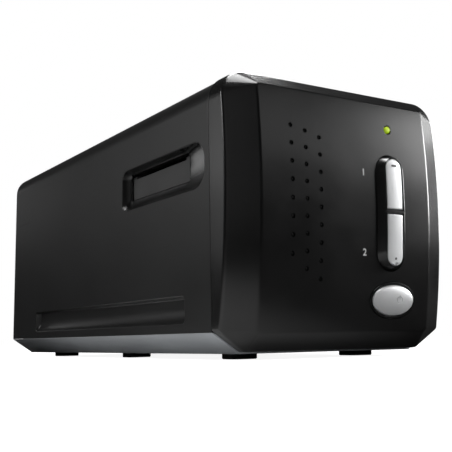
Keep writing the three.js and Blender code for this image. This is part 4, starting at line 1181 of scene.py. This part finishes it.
def grain_effect():
    """Fine spark-eroded grain of a moulding, and broad cloudy patches in its tone."""
    group, given, result = effect("moulded_grain", ("Fineness", "Patch Scale"), ("Grain", "Patches"))
    place = here(group)
    fine = noise(group, place, given["Fineness"], 3, Roughness=0.65)
    broad = noise(group, place, given["Patch Scale"], 4, Roughness=0.6, Distortion=0.4)
    group.links.new(fine, result["Grain"])
    group.links.new(ramp(group, broad, (0.35, 0.65)), result["Patches"])
    return group


def wear_effect():
    """Edges rubbed by handling, broken up by noise."""
    group, given, result = effect("edge_wear", ("Reach", "Raggedness"), ("Wear",))
    rounded = node(group, "Bevel", {"Radius": given["Reach"]}, samples=6).outputs["Normal"]
    facing = node(group, "NewGeometry").outputs["Normal"]
    match = node(group, "VectorMath", {0: rounded, 1: facing}, operation="DOT_PRODUCT")
    edge = ramp(group, match.outputs["Value"], (0.995, 0.9))
    ragged = ramp(group, noise(group, here(group), given["Raggedness"], 5), (0.42, 0.62))
    group.links.new(math_node(group, "MULTIPLY", edge, ragged), result["Wear"])
    return group


CLOUD_SCALE = 34


def dust_effect():
    """Dust that settles on what faces up, in faint patches with specks."""
    group, given, result = effect("settled_dust", ("Speck Scale",), ("Dust",))
    facing = node(group, "SeparateXYZ", {"Vector": node(group, "NewGeometry").outputs["Normal"]})
    upward = ramp(group, facing.outputs["Z"], (0.1, 1))
    place = here(group)
    film = ramp(group, noise(group, place, CLOUD_SCALE, 3), (0.4, 0.8), (0, 0.5))
    specks = ramp(group, noise(group, place, given["Speck Scale"], 1), (0.74, 0.8), (0, 0.6))
    dust = math_node(group, "MULTIPLY", math_node(group, "MAXIMUM", film, specks), upward)
    group.links.new(dust, result["Dust"])
    return group


SCUFF_TURN = (0.25, 0.1, 0.15)
SCUFF_STRETCH = (1, 0.03, 1)
SCUFF_BREAKS = 45


def scratch_effect():
    """Hairline scuffs that run along the piece."""
    group, given, result = effect("fine_scuffs", ("Density",), ("Scuffs",))
    place = here(group)
    drawn = node(group, "Mapping", {"Vector": place, "Rotation": SCUFF_TURN, "Scale": SCUFF_STRETCH})
    thin = ramp(group, noise(group, drawn.outputs["Vector"], given["Density"]), (0.64, 0.72))
    broken = ramp(group, noise(group, place, SCUFF_BREAKS), (0.45, 0.6))
    group.links.new(math_node(group, "MULTIPLY", thin, broken), result["Scuffs"])
    return group


EFFECTS = {}


def place_effect(tree, name, **values):
    """Puts one of the shared effects in a material, with its own values."""
    inputs = {socket.replace("_", " "): value for socket, value in values.items()}
    return node(tree, "Group", inputs, node_tree=EFFECTS[name]).outputs


def greys(base, toned, worn, tint=0):
    """The three greys of a finish; the first two lean to blue by a tint."""
    cool = [(level * (1 - tint), level, level * (1 + tint), 1) for level in (base, toned)]
    return *cool, (worn, worn, worn, 1)


DUST_COLOUR = (0.24, 0.23, 0.21, 1)
DUST_DULLS = 0.02
PATCH_SCALE = 26
RAGGEDNESS = 150
SPECK_SCALE = 900
SCUFF_DENSITY = 420
RELIEF_STRENGTH = 0.6
# where the polish of the slot's front slope starts and where it is full
SLOPE_OUT = mm(59.9, 59.5)
SLOPE_END = mm(-85, -91)
SLOPE_FOOT = mm(76, 82)
SLOPE_TOP = mm(101, 100)


def polish(tree, roughness, polished):
    """The front slopes of the slot's hollows are smoother than what is round them."""
    place = node(tree, "SeparateXYZ", {0: here(tree)}).outputs
    outward = math_node(tree, "ABSOLUTE", place["X"])
    share = 1
    for along, span in ((outward, SLOPE_OUT), (place["Y"], SLOPE_END), (place["Z"], SLOPE_FOOT),
                        (place["Z"], SLOPE_TOP)):
        share = math_node(tree, "MULTIPLY", ramp(tree, along, span), share)
    return mixed(tree, share, roughness, polished, kind="FLOAT")


def coat(name, colour, toned, worn, roughness, spread=0.06, *, fineness=1800, relief=0.01 * MM, wear=0.35,
         reach=0.35 * MM, dust=0.1, scuffs=0.08, slopes=None, **uniform):
    """A finish with cloudy tone, rubbed edges, settled dust, scuffs and moulded grain."""
    material = bpy.data.materials.new(name)
    material.use_nodes = True
    tree = material.node_tree
    shader = tree.nodes["Principled BSDF"].inputs
    for socket, value in uniform.items():
        shader[socket.replace("_", " ")].default_value = value
    grain = place_effect(tree, "grain", Fineness=fineness, Patch_Scale=PATCH_SCALE)
    rubbed = place_effect(tree, "wear", Reach=reach, Raggedness=RAGGEDNESS)["Wear"]
    settled = place_effect(tree, "dust", Speck_Scale=SPECK_SCALE)["Dust"]
    lines = place_effect(tree, "scuffs", Density=SCUFF_DENSITY)["Scuffs"]
    tone = mixed(tree, grain["Patches"], colour, toned)
    tone = mixed(tree, math_node(tree, "MULTIPLY", rubbed, wear), tone, worn)
    tone = mixed(tree, math_node(tree, "MULTIPLY", settled, dust), tone, DUST_COLOUR)
    rough = ramp(tree, grain["Patches"], (0, 1), (roughness - spread, roughness + spread))
    rough = math_node(tree, "MULTIPLY_ADD", lines, scuffs, rough)
    rough = math_node(tree, "MULTIPLY_ADD", settled, DUST_DULLS, rough)
    if slopes:
        rough = polish(tree, rough, slopes)
    bump = node(tree, "Bump", {"Height": grain["Grain"], "Distance": relief, "Strength": RELIEF_STRENGTH})
    for value, socket in ((tone, "Base Color"), (rough, "Roughness"), (bump.outputs["Normal"], "Normal")):
        tree.links.new(value, shader[socket])
    return material


METAL = {"Metallic": 1, "scuffs": 0.3, "relief": 0.004 * MM}


def finishes():
    """Makes one finish for each material slot of the record, and one for what is printed."""
    EFFECTS.update(grain=grain_effect(), wear=wear_effect(), dust=dust_effect(), scuffs=scratch_effect())
    COATS.update({
        "black_shell": coat("satin_black_plastic", *greys(0.006, 0.008, 0.05), 0.32, 0.012,
                            fineness=2200, relief=0.008 * MM, dust=0.008, scuffs=0.04, slopes=0.16),
        "black_gloss": coat("polished_black_plastic", *greys(0.004, 0.007, 0.04), 0.22, 0.02,
                            fineness=2600, relief=0.003 * MM, dust=0, wear=0.2, scuffs=0.02),
        "silver_tray": coat("silver_grey_paint", *greys(0.44, 0.5, 0.75, 0.05), 0.38,
                            fineness=3000, relief=0.006 * MM, Metallic=0.2, wear=0.5),
        "silver_button": coat("silver_button_paint", *greys(0.84, 0.9, 0.95, 0.01), 0.34, 0.05,
                              fineness=3400, relief=0.003 * MM, Metallic=0.35, wear=0.4),
        "black_rubber": coat("black_rubber", *greys(0.012, 0.022, 0.05), 0.75,
                             fineness=1300, relief=0.03 * MM, dust=0.25, Specular_IOR_Level=0.3),
        "dark_plastic": coat("dark_plastic", *greys(0.02, 0.035, 0.09), 0.5),
        "grey_plastic": coat("grey_plastic", *greys(0.11, 0.15, 0.3), 0.48),
        "steel": coat("ground_steel", *greys(0.5, 0.62, 0.8, 0.02), 0.3, 0.08, **METAL),
        "brass": coat("turned_brass", (0.55, 0.4, 0.16, 1), (0.68, 0.5, 0.2, 1), (0.85, 0.68, 0.35, 1),
                      0.3, 0.08, **METAL),
        "circuit_board": coat("lacquered_board", (0.012, 0.1, 0.035, 1), (0.03, 0.19, 0.07, 1),
                              (0.4, 0.3, 0.12, 1), 0.3, fineness=700, relief=0.03 * MM, wear=0.6),
        "light_green": coat("green_light_pipe", (0.45, 0.62, 0.03, 1), (0.6, 0.75, 0.06, 1),
                            (0.8, 0.9, 0.3, 1), 0.2, 0.05, Emission_Color=(0.5, 0.75, 0.02, 1),
                            Emission_Strength=0.35, dust=0),
        "diffuser_white": coat("opal_diffuser", *greys(0.8, 0.88, 0.95), 0.55,
                               Subsurface_Weight=0.2, wear=0.1),
        "mirror_glass": coat("silvered_glass", *greys(0.8, 0.86, 0.6, 0.02), 0.05, 0.02,
                             Metallic=1, relief=0.0005 * MM, wear=0.1),
        "printed_grey": coat("printed_grey", *greys(0.8, 0.86, 0.4), 0.5, wear=0, dust=0),
    })


def coat_frame_nodes():
    """Gives each CAD node its slot's finish, which shows on those that aren't replaced."""
    for part in frame["record"]["subparts"]:
        for slot in frame["nodes"][part["node"]].material_slots:
            slot.material = COATS[part["material_slot"]]


camera()
surroundings()
lights()
floor()
finishes()
coat_frame_nodes()
front_bezel()
button_frame()
for side in SIDES:
    scan_button(side)
touch_marks()
number_marks()
power_ring()
power_button()
status_light()
outer_cover()
base_tray()
feet()
screws()
rear_panel()
for side in SIDES:
    dust_door(side)
